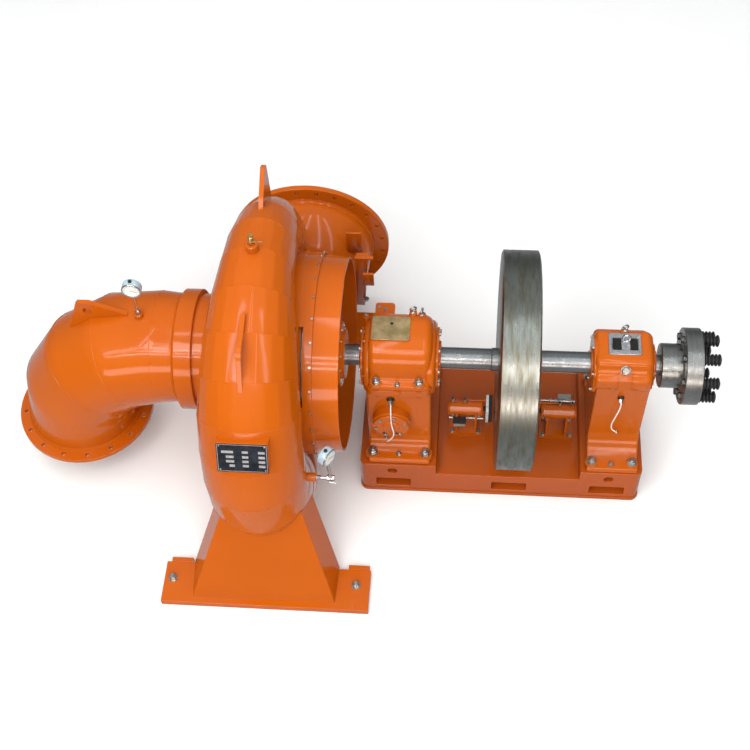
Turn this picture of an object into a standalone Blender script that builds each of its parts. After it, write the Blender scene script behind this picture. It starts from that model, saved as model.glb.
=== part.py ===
"""Horizontal Francis turbine set: spiral case, draft elbow, bearings, flywheel and coupling half.

World frame: +X runs along the shaft from the turbine to the coupling, +Y points away from the
front, +Z is up. The origin is on the underside of the base frame, below the flywheel.
"""
import math

import bmesh
import bpy
from mathutils import Matrix, Vector

for old in list(bpy.data.objects):
    bpy.data.objects.remove(old, do_unlink=True)

# Driving dimensions, in metres
GAP = 0.0003
SHAFT_HEIGHT = 0.88
SHAFT_RADIUS = 0.059
SEAT_RADIUS = 0.064
NECK_RADIUS = 0.056
FLYWHEEL_RADIUS = 0.60
FLYWHEEL_LEFT = -0.093
FLYWHEEL_RIGHT = 0.109
COUPLING_LEFT = 0.775
COUPLING_FACE = 0.892
COUPLING_RIGHT = 0.983
COUPLING_RADIUS = 0.209
HUB_RADIUS = 0.121
PIN_COUNT = 8
PIN_CIRCLE = 0.165

BASE_LEFT = -0.86
BASE_RIGHT = 0.76
BASE_FRONT = -0.35
BASE_BACK = 0.41
DECK_HEIGHT = 0.28
RECESS_FLOOR = 0.20
RECESS_LEFT = -0.415
RECESS_RIGHT = 0.404

TURBINE_X = -1.345
RING_BORE = 0.42
RING_RADIUS = 0.56
RING_HALF_WIDTH = 0.21
RING_WIDTH = 0.11
SCROLL_START = -60.0
SCROLL_END = 270.0
SCROLL_STEP = 15.0
NOSE_JOINT = 30.0
NOSE_STEP = 0.002
SCROLL_INNER_RADIUS = 0.475
SCROLL_WALL = 0.014
SECTION_POINTS = 16

INLET_X = -1.251
INLET_END = 1.085
DUCT_STRAIGHT = 0.30
INLET_DROP = 0.338
INLET_RADIUS = 0.385
INLET_FLANGE_RADIUS = 0.48
INLET_BOLT_CIRCLE = 0.443
INLET_HOLES = 24
INLET_FLANGE_THICKNESS = 0.035

DRUM_LEFT = -1.03
DRUM_RIGHT = -0.915
DRUM_RADIUS = 0.534
SEAL_RADIUS = 0.18
SEAL_RIGHT = -0.925

COLLAR_LEFT = -1.82
COLLAR_WIDTH = 0.095
COLLAR_RADIUS = 0.335
ELBOW_RADIUS = 0.30
BEND_RADIUS = 0.326
ELBOW_X = -2.521
ELBOW_BEND = 0.57
ELBOW_RISE = 0.013
ELBOW_WALL = 0.012
DRAFT_FLANGE_TOP = 0.28
DRAFT_FLANGE_RADIUS = 0.398
DRAFT_PIPE_RADIUS = 0.33
DRAFT_FLANGE_THICKNESS = 0.03
DRAFT_BOLT_CIRCLE = 0.362
DRAFT_HOLES = 16
ELBOW_BOSS_TOP = 1.222

PLATE_X = -1.336
PLATE_ANGLE = 157
PLATE_SIZE = (0.258, 0.172)
PLATE_LIFT = 0.024
VENT_X = -1.34
VENT_Y = -0.016
VENT_BOTTOM = 1.815
VENT_PIN_RISE = 0.038
GAUGE_PIPE_START = -1.03
GAUGE_COCK_X = -0.955
GAUGE_Y = -0.72
GAUGE_Z = 0.765
GAUGE_RISE = 0.22
ELBOW_GAUGE = (-2.022, -0.022)
ELBOW_GAUGE_RISE = 0.215

AXIS = Vector((0.0, 0.0, SHAFT_HEIGHT))


def bore(radius, segments, gap=GAP):
    """Corner radius of a faceted bore whose flats clear a round of the given radius."""
    return (radius + gap) / math.cos(math.pi / segments)


def snug(radius, segments=48, gap=GAP):
    """Corner radius of a faceted seat around a fixed piece with the same facets."""
    return radius + gap / math.cos(math.pi / segments)


def finish(name, colour, roughness, metallic):
    mat = bpy.data.materials.new(name)
    mat.use_nodes = True
    shader = mat.node_tree.nodes["Principled BSDF"]
    shader.inputs["Base Color"].default_value = (*colour, 1.0)
    shader.inputs["Roughness"].default_value = roughness
    shader.inputs["Metallic"].default_value = metallic
    return mat


def new_object(name, mesh_data, colour=None, location=(0, 0, 0)):
    bmesh.ops.remove_doubles(mesh_data, verts=mesh_data.verts, dist=1e-6)
    bmesh.ops.recalc_face_normals(mesh_data, faces=mesh_data.faces)
    mesh = bpy.data.meshes.new(name)
    mesh_data.to_mesh(mesh)
    mesh_data.free()
    mesh.shade_smooth()
    mesh.set_sharp_from_angle(angle=math.radians(35))
    obj = bpy.data.objects.new(name, mesh)
    obj.location = location
    bpy.context.collection.objects.link(obj)
    if colour:
        mesh.materials.append(finish(name + "_finish", *colour))
    return obj


ENAMEL = ((0.80, 0.16, 0.02), 0.25, 0.0)
STEEL = ((0.55, 0.54, 0.50), 0.30, 1.0)
BRIGHT = ((0.70, 0.70, 0.70), 0.20, 1.0)
BRASS = ((0.75, 0.58, 0.28), 0.30, 1.0)
RUBBER = ((0.02, 0.02, 0.02), 0.60, 0.0)
GAUGE = ((0.55, 0.65, 0.68), 0.35, 0.0)
LINING = ((0.05, 0.05, 0.05), 0.80, 0.0)


def guide(obj):
    """Hide a cutter or a welded-on shape, which is not a piece by itself."""
    obj.hide_render = True
    obj.display_type = "WIRE"
    return obj


def cut(target, *cutters):
    for cutter in cutters:
        step = target.modifiers.new("cut", "BOOLEAN")
        step.operation = "DIFFERENCE"
        step.solver = "EXACT"
        step.object = guide(cutter)
    return target


def weld(target, *extras):
    for extra in extras:
        step = target.modifiers.new("weld", "BOOLEAN")
        step.operation = "UNION"
        step.solver = "EXACT"
        step.object = guide(extra)
    return target


def loft(name, rings, colour=None, location=(0, 0, 0), closed=False):
    """Skin through rings of points, with flat caps, or round to the first ring again."""
    data = bmesh.new()
    rows = [[data.verts.new(p) for p in ring] for ring in rings]
    pairs = list(zip(rows, rows[1:]))
    if closed:
        pairs.append((rows[-1], rows[0]))
    for lower, upper in pairs:
        count = len(lower)
        for i in range(count):
            j = (i + 1) % count
            data.faces.new((lower[i], lower[j], upper[j], upper[i]))
    if not closed:
        data.faces.new(rows[0])
        data.faces.new(rows[-1])
    return new_object(name, data, colour, location)


def turned(name, profile, colour=None, segments=48, centre=AXIS, axis="X"):
    """Body turned about an axis through centre, from (along, radius) points.

    A profile that starts and ends on the axis is solid, any other is a ring."""
    data = bmesh.new()
    solid = profile[0][1] == 0.0
    inner = profile[1:-1] if solid else profile
    rows = []
    for k in range(segments):
        turn = 2.0 * math.pi * (k + 0.5) / segments
        rows.append([data.verts.new((a, r * math.cos(turn), r * math.sin(turn))) for a, r in inner])
    ends = [data.verts.new((profile[0][0], 0, 0)), data.verts.new((profile[-1][0], 0, 0))] if solid else None
    for k in range(segments):
        here, there = rows[k], rows[(k + 1) % segments]
        last = len(inner) - 1 if solid else len(inner)
        for i in range(last):
            j = (i + 1) % len(inner)
            data.faces.new((here[i], here[j], there[j], there[i]))
        if solid:
            data.faces.new((ends[0], here[0], there[0]))
            data.faces.new((ends[1], here[-1], there[-1]))
    if axis == "Y":
        bmesh.ops.rotate(data, verts=data.verts, matrix=Matrix.Rotation(math.radians(90), 3, "Z"))
    elif axis == "Z":
        bmesh.ops.rotate(data, verts=data.verts, matrix=Matrix.Rotation(math.radians(-90), 3, "Y"))
    return new_object(name, data, colour, centre)


def tube(name, start, end, outer, inner=0.0, colour=None, segments=48, centre=AXIS, axis="X"):
    """Plain cylinder or pipe between two places along the axis."""
    if inner:
        profile = [(start, inner), (start, outer), (end, outer), (end, inner)]
    else:
        profile = [(start, 0.0), (start, outer), (end, outer), (end, 0.0)]
    return turned(name, profile, colour, segments, centre, axis)


def prism(name, outline, low, high, along="X", colour=None, location=(0, 0, 0)):
    """Outline pushed from low to high along an axis; the outline is in the other two axes."""
    places = {"X": lambda a, b, c: (c, a, b), "Y": lambda a, b, c: (a, c, b), "Z": lambda a, b, c: (a, b, c)}
    place = places[along]
    rings = [[Vector(place(a, b, c)) for a, b in outline] for c in (low, high)]
    return loft(name, rings, colour, location)


def block(name, low, high, colour=None, location=(0, 0, 0)):
    outline = [(low[0], low[1]), (high[0], low[1]), (high[0], high[1]), (low[0], high[1])]
    return prism(name, outline, low[2], high[2], "Z", colour, location)


def arc(centre, radius, start, end, steps):
    """Points along an arc, angles in degrees."""
    points = []
    for i in range(steps + 1):
        angle = math.radians(start + (end - start) * i / steps)
        points.append((centre[0] + radius * math.cos(angle), centre[1] + radius * math.sin(angle)))
    return points


def rounded(low, high, radius, steps=3):
    """Rectangle with round corners, as an outline."""
    corners = (((high[0] - radius, low[1] + radius), -90), ((high[0] - radius, high[1] - radius), 0),
               ((low[0] + radius, high[1] - radius), 90), ((low[0] + radius, low[1] + radius), 180))
    return [p for centre, start in corners for p in arc(centre, radius, start, start + 90, steps)]


def base_frame():
    """Heavy base with a deck at each end and a lower recess for the flywheel."""
    outline = rounded((BASE_LEFT, BASE_FRONT), (BASE_RIGHT, BASE_BACK), 0.04)
    frame = prism("base_frame", outline, 0.0, DECK_HEIGHT, "Z", ENAMEL)
    past = 0.05
    recess = block("recess_cut", (RECESS_LEFT, BASE_FRONT - past, RECESS_FLOOR),
                   (RECESS_RIGHT, BASE_BACK + past, DECK_HEIGHT + 0.1))
    cut(frame, recess)
    pocket_length, pocket_depth = 0.198, 0.07
    for face, side in ((BASE_FRONT, -1), (BASE_BACK, 1)):
        for middle in (-0.664, 0.007, 0.570):
            outer, inner = face + side * past, face - side * pocket_depth
            low = (middle - pocket_length / 2, min(outer, inner), 0.05)
            high = (middle + pocket_length / 2, max(outer, inner), 0.13)
            cut(frame, block("pocket_cut", low, high))
        for middle in (-0.669, 0.569):
            cut(frame, tube("hole_cut", -past, past, 0.026, segments=12, centre=(middle, face, 0.215), axis="Y"))
    return frame


MAIN_FOOT_LEFT = -0.79
MAIN_FOOT_RIGHT = -0.47
MAIN_HALF_DEPTH = 0.206
MAIN_CAP_TOP = 0.25
FLANGE_HALF_DEPTH = 0.235
FOOT_THICKNESS = 0.04
FOOT_HALF_DEPTH = 0.335
OUT_LEFT = 0.437
OUT_RIGHT = 0.722
OUT_HALF_DEPTH = 0.165
OUT_CAP_TOP = 0.19
BEARING_SEGMENTS = 32


def pedestal_outline(half_depth, flange_depth, flange_drop):
    """Half of a bearing pedestal seen along the shaft: foot, flare, wall and split flange."""
    foot_top = DECK_HEIGHT + GAP + FOOT_THICKNESS
    flare = FOOT_HALF_DEPTH - 0.03 - half_depth
    front = [(FOOT_HALF_DEPTH, DECK_HEIGHT + GAP), (FOOT_HALF_DEPTH, foot_top)]
    front += arc((half_depth + flare, foot_top + flare), flare, 270, 180, 4)
    front += [(half_depth, SHAFT_HEIGHT - flange_drop), (flange_depth, SHAFT_HEIGHT - flange_drop + 0.02)]
    front += [(flange_depth, SHAFT_HEIGHT - GAP)]
    return front


def both_sides(front):
    """Full outline from its front half, mirrored about the shaft's vertical plane."""
    return [(-y, z) for y, z in front] + [(y, z) for y, z in reversed(front)]


def main_bearing_base():
    front = pedestal_outline(MAIN_HALF_DEPTH, FLANGE_HALF_DEPTH, 0.07)
    body = prism("main_bearing_base", both_sides(front), MAIN_FOOT_LEFT, MAIN_FOOT_RIGHT, "X", ENAMEL)
    boss = tube("oil_boss_shape", -MAIN_HALF_DEPTH - 0.052, -MAIN_HALF_DEPTH + 0.05, 0.108, segments=24,
                centre=(-0.670, 0.0, 0.575), axis="Y")
    weld(body, boss)
    shaft_bore = tube("main_bore_cut", -1.0, -0.3, bore(SHAFT_RADIUS, BEARING_SEGMENTS), segments=BEARING_SEGMENTS)
    cut(body, shaft_bore)
    return body


def main_bearing_cap():
    side = 0.168
    corner = 0.12
    top = SHAFT_HEIGHT + MAIN_CAP_TOP
    front = [(FLANGE_HALF_DEPTH, SHAFT_HEIGHT), (FLANGE_HALF_DEPTH, SHAFT_HEIGHT + 0.045),
             (side, SHAFT_HEIGHT + 0.06)]
    front += arc((side - corner, top - corner), corner, 0, 90, 5)
    body = prism("main_bearing_cap", both_sides(front), MAIN_FOOT_LEFT, MAIN_FOOT_RIGHT, "X", ENAMEL)
    shaft_bore = tube("main_cap_bore_cut", -1.0, -0.3, bore(SHAFT_RADIUS, BEARING_SEGMENTS),
                      segments=BEARING_SEGMENTS)
    cut(body, shaft_bore)
    return body


def bearing_covers():
    """Round end covers that close each bearing housing around the shaft."""
    ring = bore(SHAFT_RADIUS, BEARING_SEGMENTS)
    tube("main_bearing_cover_left", -0.835, MAIN_FOOT_LEFT - GAP, 0.205, ring, ENAMEL, BEARING_SEGMENTS)
    tube("main_bearing_cover_right", MAIN_FOOT_RIGHT + GAP, -0.415, 0.205, ring, ENAMEL, BEARING_SEGMENTS)
    tube("outboard_cover_left", OUT_LEFT - 0.022, OUT_LEFT - GAP, 0.16, ring, ENAMEL, BEARING_SEGMENTS)
    neck = bore(NECK_RADIUS, BEARING_SEGMENTS)
    tube("outboard_cover_right", OUT_RIGHT + GAP, OUT_RIGHT + 0.020, 0.16, neck, ENAMEL, BEARING_SEGMENTS)


def outboard_bearing():
    front = pedestal_outline(OUT_HALF_DEPTH, OUT_HALF_DEPTH + 0.005, 0.03)
    body = prism("outboard_pedestal", both_sides(front), OUT_LEFT, OUT_RIGHT, "X", ENAMEL)
    top = SHAFT_HEIGHT + OUT_CAP_TOP
    front = [(OUT_HALF_DEPTH + 0.01, SHAFT_HEIGHT), (OUT_HALF_DEPTH + 0.01, SHAFT_HEIGHT + 0.05)]
    front += [(OUT_HALF_DEPTH - 0.01, SHAFT_HEIGHT + 0.07), (OUT_HALF_DEPTH - 0.02, top - 0.07)]
    front += [(OUT_HALF_DEPTH - 0.05, top - 0.02), (OUT_HALF_DEPTH - 0.08, top)]
    cap = prism("outboard_cap", both_sides(front), OUT_LEFT, OUT_RIGHT, "X", ENAMEL)
    for piece in (body, cap):
        shaft_bore = tube(piece.name + "_bore_cut", 0.3, 0.9, bore(SHAFT_RADIUS, BEARING_SEGMENTS),
                          segments=BEARING_SEGMENTS)
        cut(piece, shaft_bore)
    block("outboard_sight_window", (0.49, -0.06, top + GAP), (0.68, 0.06, top + 0.012), BRIGHT)


def bearing_fittings():
    """Brass inspection plate and round oil cover of the main bearing."""
    top = SHAFT_HEIGHT + MAIN_CAP_TOP + GAP
    block("inspection_plate", (-0.775, -0.078, top), (-0.570, 0.078, top + 0.006), BRASS)
    face = -MAIN_HALF_DEPTH - 0.052
    tube("oil_cover", face - 0.012, face - GAP, 0.095, colour=ENAMEL, segments=24,
         centre=(-0.670, 0.0, 0.575), axis="Y")


BRAKE_HEIGHT = 0.385
LINING_GAP = 0.013


def brake(side, face):
    """Bracket on the recess floor with its cylinder, and the pad that it pushes at the flywheel."""
    def at(distance):
        return face + side * distance

    label = "left" if side < 0 else "right"
    near, far = at(0.066), at(0.260)
    low, high = min(near, far), max(near, far)
    bracket = block("brake_bracket_" + label, (low, -0.075, RECESS_FLOOR + GAP), (high, 0.075, 0.215), ENAMEL)
    for distance in (0.105, 0.215):
        rib = at(distance)
        weld(bracket, block("rib_shape", (rib - 0.006, -0.06, 0.21), (rib + 0.006, 0.06, BRAKE_HEIGHT)))
    cylinder = tube("brake_cylinder_shape", min(at(0.070), at(0.265)), max(at(0.070), at(0.265)), 0.042,
                    segments=20, centre=(0, 0, BRAKE_HEIGHT))
    weld(bracket, cylinder)
    rod = 0.014
    rod_hole = tube("rod_hole_cut", min(at(0.06), at(0.20)), max(at(0.06), at(0.20)), bore(rod, 12),
                    segments=12, centre=(0, 0, BRAKE_HEIGHT))
    cut(bracket, rod_hole)
    start, end = at(LINING_GAP), at(LINING_GAP + 0.035)
    pad = block("brake_pad_" + label, (min(start, end), -0.055, BRAKE_HEIGHT - 0.06),
                (max(start, end), 0.055, BRAKE_HEIGHT + 0.06), LINING)
    stem = tube("stem_shape", min(at(0.04), at(0.17)), max(at(0.04), at(0.17)), rod, segments=12,
                centre=(0, 0, BRAKE_HEIGHT))
    weld(pad, stem)


def shaft():
    profile = [(-1.40, 0.0), (-1.40, 0.045), (-1.22, 0.045), (-1.22, SHAFT_RADIUS), (-0.127, SHAFT_RADIUS),
               (-0.127, SEAT_RADIUS), (0.140, SEAT_RADIUS), (0.140, SHAFT_RADIUS), (0.715, SHAFT_RADIUS),
               (0.715, NECK_RADIUS), (COUPLING_RIGHT, NECK_RADIUS), (COUPLING_RIGHT, 0.0)]
    return turned("shaft", profile, STEEL, BEARING_SEGMENTS)


def flywheel():
    chamfer = 0.008
    ring = bore(SEAT_RADIUS, 64)
    rim = FLYWHEEL_RADIUS
    profile = [(FLYWHEEL_LEFT, ring), (FLYWHEEL_LEFT, rim - chamfer), (FLYWHEEL_LEFT + chamfer, rim),
               (FLYWHEEL_RIGHT - chamfer, rim), (FLYWHEEL_RIGHT, rim - chamfer), (FLYWHEEL_RIGHT, ring)]
    return turned("flywheel", profile, STEEL, 64)


def coupling():
    ring = bore(NECK_RADIUS, BEARING_SEGMENTS)
    profile = [(COUPLING_LEFT, ring), (COUPLING_LEFT, HUB_RADIUS - 0.006), (COUPLING_LEFT + 0.006, HUB_RADIUS),
               (COUPLING_FACE, HUB_RADIUS), (COUPLING_FACE, COUPLING_RADIUS), (COUPLING_RIGHT, COUPLING_RADIUS),
               (COUPLING_RIGHT, ring)]
    half = turned("coupling_half", profile, STEEL, BEARING_SEGMENTS)
    shank, nut, sleeve = 0.014, 0.022, 0.030
    end = COUPLING_RIGHT + 0.094
    for k in range(PIN_COUNT):
        angle = 2.0 * math.pi * (k + 0.5) / PIN_COUNT
        place = AXIS + Vector((0.0, PIN_CIRCLE * math.cos(angle), PIN_CIRCLE * math.sin(angle)))
        hole = tube("pin_hole_cut", COUPLING_FACE - 0.05, COUPLING_RIGHT + 0.05, bore(shank, 12),
                    segments=12, centre=place)
        cut(half, hole)
        profile = [(COUPLING_FACE - 0.022, 0.0), (COUPLING_FACE - 0.022, nut), (COUPLING_FACE - GAP, nut),
                   (COUPLING_FACE - GAP, shank), (COUPLING_RIGHT + GAP, shank), (COUPLING_RIGHT + GAP, sleeve),
                   (end, sleeve), (end, 0.0)]
        turned(f"coupling_pin_{k + 1}", profile, RUBBER, 12, place)
    return half


def scroll_half_height(angle):
    """Radial half-size of the spiral section at an angle from the back, over the top."""
    steps = ((-60, 0.125), (42, 0.188), (90, 0.210), (150, 0.247), (205, 0.280), (240, 0.240), (270, 0.195))
    return table(steps, angle)


def scroll_half_width(angle):
    """Half-size of the spiral section along the shaft."""
    steps = ((-60, 0.115), (42, 0.168), (90, 0.192), (120, 0.232), (150, 0.262), (205, 0.274), (270, 0.250))
    return table(steps, angle)


def table(steps, value):
    """Straight-line reading between stations."""
    for (a, va), (b, vb) in zip(steps, steps[1:]):
        if value <= b:
            return va + (vb - va) * (value - a) / (b - a)
    return steps[-1][1]


def scroll_ring(angle, grow):
    """Oval section of the spiral at an angle, its wall moved outward by grow."""
    turn = math.radians(angle)
    out = Vector((0.0, math.cos(turn), math.sin(turn)))
    half_height = scroll_half_height(angle)
    half_width = scroll_half_width(angle) + grow
    middle = Vector((TURBINE_X, 0.0, SHAFT_HEIGHT)) + out * (SCROLL_INNER_RADIUS + half_height)
    half_height += grow
    ring = []
    for k in range(SECTION_POINTS):
        phi = 2.0 * math.pi * k / SECTION_POINTS
        ring.append(middle + out * (half_height * math.cos(phi)) + Vector((half_width * math.sin(phi), 0, 0)))
    return ring


def duct_ring(y, grow):
    """Section of the inlet duct: oval under the shaft, round at the inlet flange."""
    rise = max(0.0, (y - DUCT_STRAIGHT) / (INLET_END - DUCT_STRAIGHT))
    smooth = rise * rise * (3.0 - 2.0 * rise)
    start_height, start_width = scroll_half_height(270), scroll_half_width(270)
    start_drop = SCROLL_INNER_RADIUS + start_height
    height = start_height + (INLET_RADIUS - start_height) * smooth + grow
    width = start_width + (INLET_RADIUS - start_width) * smooth + grow
    drop = start_drop + (INLET_DROP - start_drop) * smooth
    x = TURBINE_X + (INLET_X - TURBINE_X) * smooth
    ring = []
    for k in range(SECTION_POINTS):
        phi = 2.0 * math.pi * k / SECTION_POINTS
        ring.append(Vector((x + width * math.sin(phi), y, SHAFT_HEIGHT - drop - height * math.cos(phi))))
    return ring


def scroll_tube(name, grow, first=SCROLL_START, last=SCROLL_END):
    """Stretch of the spiral by itself, between two angles."""
    return loft(name, spiral_rings(grow, first, last))


def spiral_rings(grow, first, last):
    count = round((last - first) / SCROLL_STEP)
    return [scroll_ring(first + (last - first) * k / count, grow) for k in range(count + 1)]


def duct_rings(grow, overrun):
    count = 8
    rings = [duct_ring(INLET_END * k / count, grow) for k in range(count + 1)]
    if overrun:
        rings.append([p + Vector((0, overrun, 0)) for p in rings[-1]])
    return rings


def duct_tube(name, grow):
    return loft(name, duct_rings(grow, 0.0))


def spiral_and_duct(name, grow, overrun=0.0):
    """Spiral from the back of the ring, over the top and under the shaft, then the inlet duct."""
    rings = spiral_rings(grow, NOSE_JOINT, SCROLL_END) + duct_rings(grow, overrun)[1:]
    return loft(name, rings)


def nose(name, grow):
    """Narrow first stretch of the spiral, which starts inside the inlet duct."""
    return loft(name, spiral_rings(grow - NOSE_STEP, SCROLL_START, NOSE_JOINT + 6.0))


def lug(name, angle, reach, length, x, thickness):
    """Triangular lifting plate that stands on the spiral, in a plane across the shaft."""
    turn = math.radians(angle)
    out = Vector((0.0, math.cos(turn), math.sin(turn)))
    along = Vector((0.0, -math.sin(turn), math.cos(turn)))
    surface = SCROLL_INNER_RADIUS + 2.0 * scroll_half_height(angle)
    centre = Vector((x, 0.0, SHAFT_HEIGHT))
    corners = [(surface - 0.012, -length / 2), (surface - 0.012, length / 2), (surface + reach, length / 6),
               (surface + reach, -length / 6)]
    rings = []
    for side in (-0.5, 0.5):
        shift = Vector((side * thickness, 0, 0))
        rings.append([centre + shift + out * r + along * s for r, s in corners])
    return loft(name, rings)


def scroll_case():
    """Welded spiral case: hollow spiral, inlet duct, lifting plates and tapping bosses."""
    case = spiral_and_duct("scroll_case", 0.0)
    case.data.materials.append(finish("scroll_case_finish", *ENAMEL))
    weld(case, nose("nose_shape", 0.0))
    cut(case, spiral_and_duct("scroll_hollow_cut", -SCROLL_WALL, 0.1))
    cut(case, nose("nose_hollow_cut", -SCROLL_WALL))
    ring_space = tube("ring_space_cut", TURBINE_X - RING_HALF_WIDTH - GAP, TURBINE_X + RING_HALF_WIDTH + GAP,
                      snug(RING_RADIUS))
    cut(case, ring_space)
    weld(case, lug("top_lug_shape", 62, 0.14, 0.16, TURBINE_X - 0.02, 0.028))
    weld(case, lug("front_lug_shape", 132, 0.075, 0.22, TURBINE_X - 0.03, 0.028))
    weld(case, tube("vent_boss_shape", VENT_BOTTOM - 0.045, VENT_BOTTOM, 0.034, segments=12,
                    centre=(VENT_X, VENT_Y, 0.0), axis="Z"))
    weld(case, tube("gauge_boss_shape", GAUGE_PIPE_START - 0.045, GAUGE_PIPE_START, 0.024, segments=12,
                    centre=(0.0, GAUGE_Y, GAUGE_Z)))
    return case


def side_rings():
    """Stay ring halves either side of the spiral's mouth, tied by stay vanes."""
    right_in = TURBINE_X + RING_HALF_WIDTH - RING_WIDTH
    right_out = TURBINE_X + RING_HALF_WIDTH
    left_in = TURBINE_X - RING_HALF_WIDTH + RING_WIDTH
    left_out = TURBINE_X - RING_HALF_WIDTH
    ring = tube("stay_ring", right_in, right_out, RING_RADIUS, RING_BORE, ENAMEL)
    weld(ring, tube("left_ring_shape", left_out, left_in, RING_RADIUS, RING_BORE))
    count = 10
    for k in range(count):
        turn = 2.0 * math.pi * k / count
        out = Vector((0.0, math.cos(turn), math.sin(turn)))
        along = Vector((0.0, -math.sin(turn), math.cos(turn)))
        outline = ((0.445, -0.030), (0.455, -0.034), (0.535, 0.030), (0.525, 0.034))
        rings = []
        for x in (left_in - 0.01, right_in + 0.01):
            rings.append([Vector((x, 0, SHAFT_HEIGHT)) + out * r + along * s for r, s in outline])
        weld(ring, loft("stay_vane_shape", rings))
    return ring


BAND_LEFT = TURBINE_X + RING_HALF_WIDTH + GAP
COVER_FLANGE = 0.022
GATE_RADIUS = 0.44


def head_cover():
    """Cover on the shaft side: a flange on the stay ring, a wet plate and a spigot for the gate ring."""
    face = BAND_LEFT + COVER_FLANGE
    hub = snug(SEAL_RADIUS)
    profile = [(-1.205, hub), (-1.205, RING_BORE - 0.002), (BAND_LEFT, RING_BORE - 0.002),
               (BAND_LEFT, 0.52), (face, 0.52), (face, GATE_RADIUS), (face + 0.045, GATE_RADIUS),
               (face + 0.045, GATE_RADIUS - 0.03), (-1.175, GATE_RADIUS - 0.03 - 0.02), (-1.175, hub)]
    return turned("head_cover", profile, ENAMEL)


def gate_ring():
    """Regulating ring that turns on the head cover's spigot and carries the vane link pins."""
    face = BAND_LEFT + COVER_FLANGE
    left, right = face + 0.001, face + 0.031
    ring = tube("gate_ring", left, right, 0.50, bore(GATE_RADIUS, 48), STEEL)
    for k in range(12):
        turn = 2.0 * math.pi * k / 12
        place = AXIS + Vector((0, 0.472 * math.cos(turn), 0.472 * math.sin(turn)))
        weld(ring, tube("link_pin_shape", right - 0.01, right + 0.016, 0.013, segments=8, centre=place))
    return ring


def guide_band():
    """Round casing between spiral and drum, with window slots that show the regulating ring."""
    band = tube("guide_band", BAND_LEFT, DRUM_LEFT - GAP, 0.556, 0.54, ENAMEL)
    spread = math.tan(math.radians(22.3))
    low, high = 0.47, 0.60
    for middle in (14, 134, 254):
        turn = math.radians(middle)
        out = Vector((0.0, math.cos(turn), math.sin(turn)))
        along = Vector((0.0, -math.sin(turn), math.cos(turn)))
        rings = []
        for x in (BAND_LEFT + 0.010, BAND_LEFT + 0.036):
            rings.append([Vector((x, 0, SHAFT_HEIGHT)) + out * r + along * s
                          for r, s in ((low, -low * spread), (low, low * spread),
                                       (high, high * spread), (high, -high * spread))])
        cut(band, loft("window_cut", rings))
    return band


def drum():
    """Open drum with a back plate, outside the guide band."""
    back = DRUM_LEFT + 0.012
    profile = [(DRUM_LEFT, snug(SEAL_RADIUS)), (DRUM_LEFT, 0.556), (back, 0.556), (back, DRUM_RADIUS),
               (DRUM_RIGHT, DRUM_RADIUS), (DRUM_RIGHT, DRUM_RADIUS - 0.012), (back, DRUM_RADIUS - 0.012),
               (back, snug(SEAL_RADIUS))]
    return turned("drum_ring", profile, ENAMEL)


def seal_housing():
    inner = bore(SHAFT_RADIUS, 32)
    profile = [(-1.20, inner), (-1.20, SEAL_RADIUS), (SEAL_RIGHT - 0.02, SEAL_RADIUS),
               (SEAL_RIGHT - 0.02, 0.135), (SEAL_RIGHT, 0.135), (SEAL_RIGHT, inner)]
    return turned("seal_housing", profile, ENAMEL, 48)


def runner():
    """Francis runner: hub and shroud joined by blades."""
    hub = turned("runner", [(-1.2205, bore(0.045, 32)), (-1.2205, 0.34), (-1.245, 0.34), (-1.29, 0.15),
                            (-1.40, 0.075), (-1.40, bore(0.045, 32))], STEEL, 32)
    shroud = turned("shroud_shape", [(-1.38, 0.34), (-1.40, 0.34), (-1.46, 0.275), (-1.50, 0.27), (-1.50, 0.255),
                                     (-1.455, 0.258), (-1.385, 0.315)], segments=32)
    weld(hub, shroud)
    count = 11
    for k in range(count):
        turn = 2.0 * math.pi * k / count
        rings = []
        for x, lean in ((-1.235, 0.0), (-1.395, 0.12)):
            ring = []
            for r, s in ((0.10, -0.004), (0.333, -0.10), (0.333, -0.09), (0.10, 0.006)):
                if x < -1.3:
                    r = min(r, 0.325)
                spin = turn + lean
                out = Vector((0.0, math.cos(spin), math.sin(spin)))
                along = Vector((0.0, -math.sin(spin), math.cos(spin)))
                ring.append(Vector((x, 0, 0)) + out * r + along * s)
            rings.append(ring)
        weld(hub, loft("blade_shape", rings, location=AXIS))
    return hub


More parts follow.
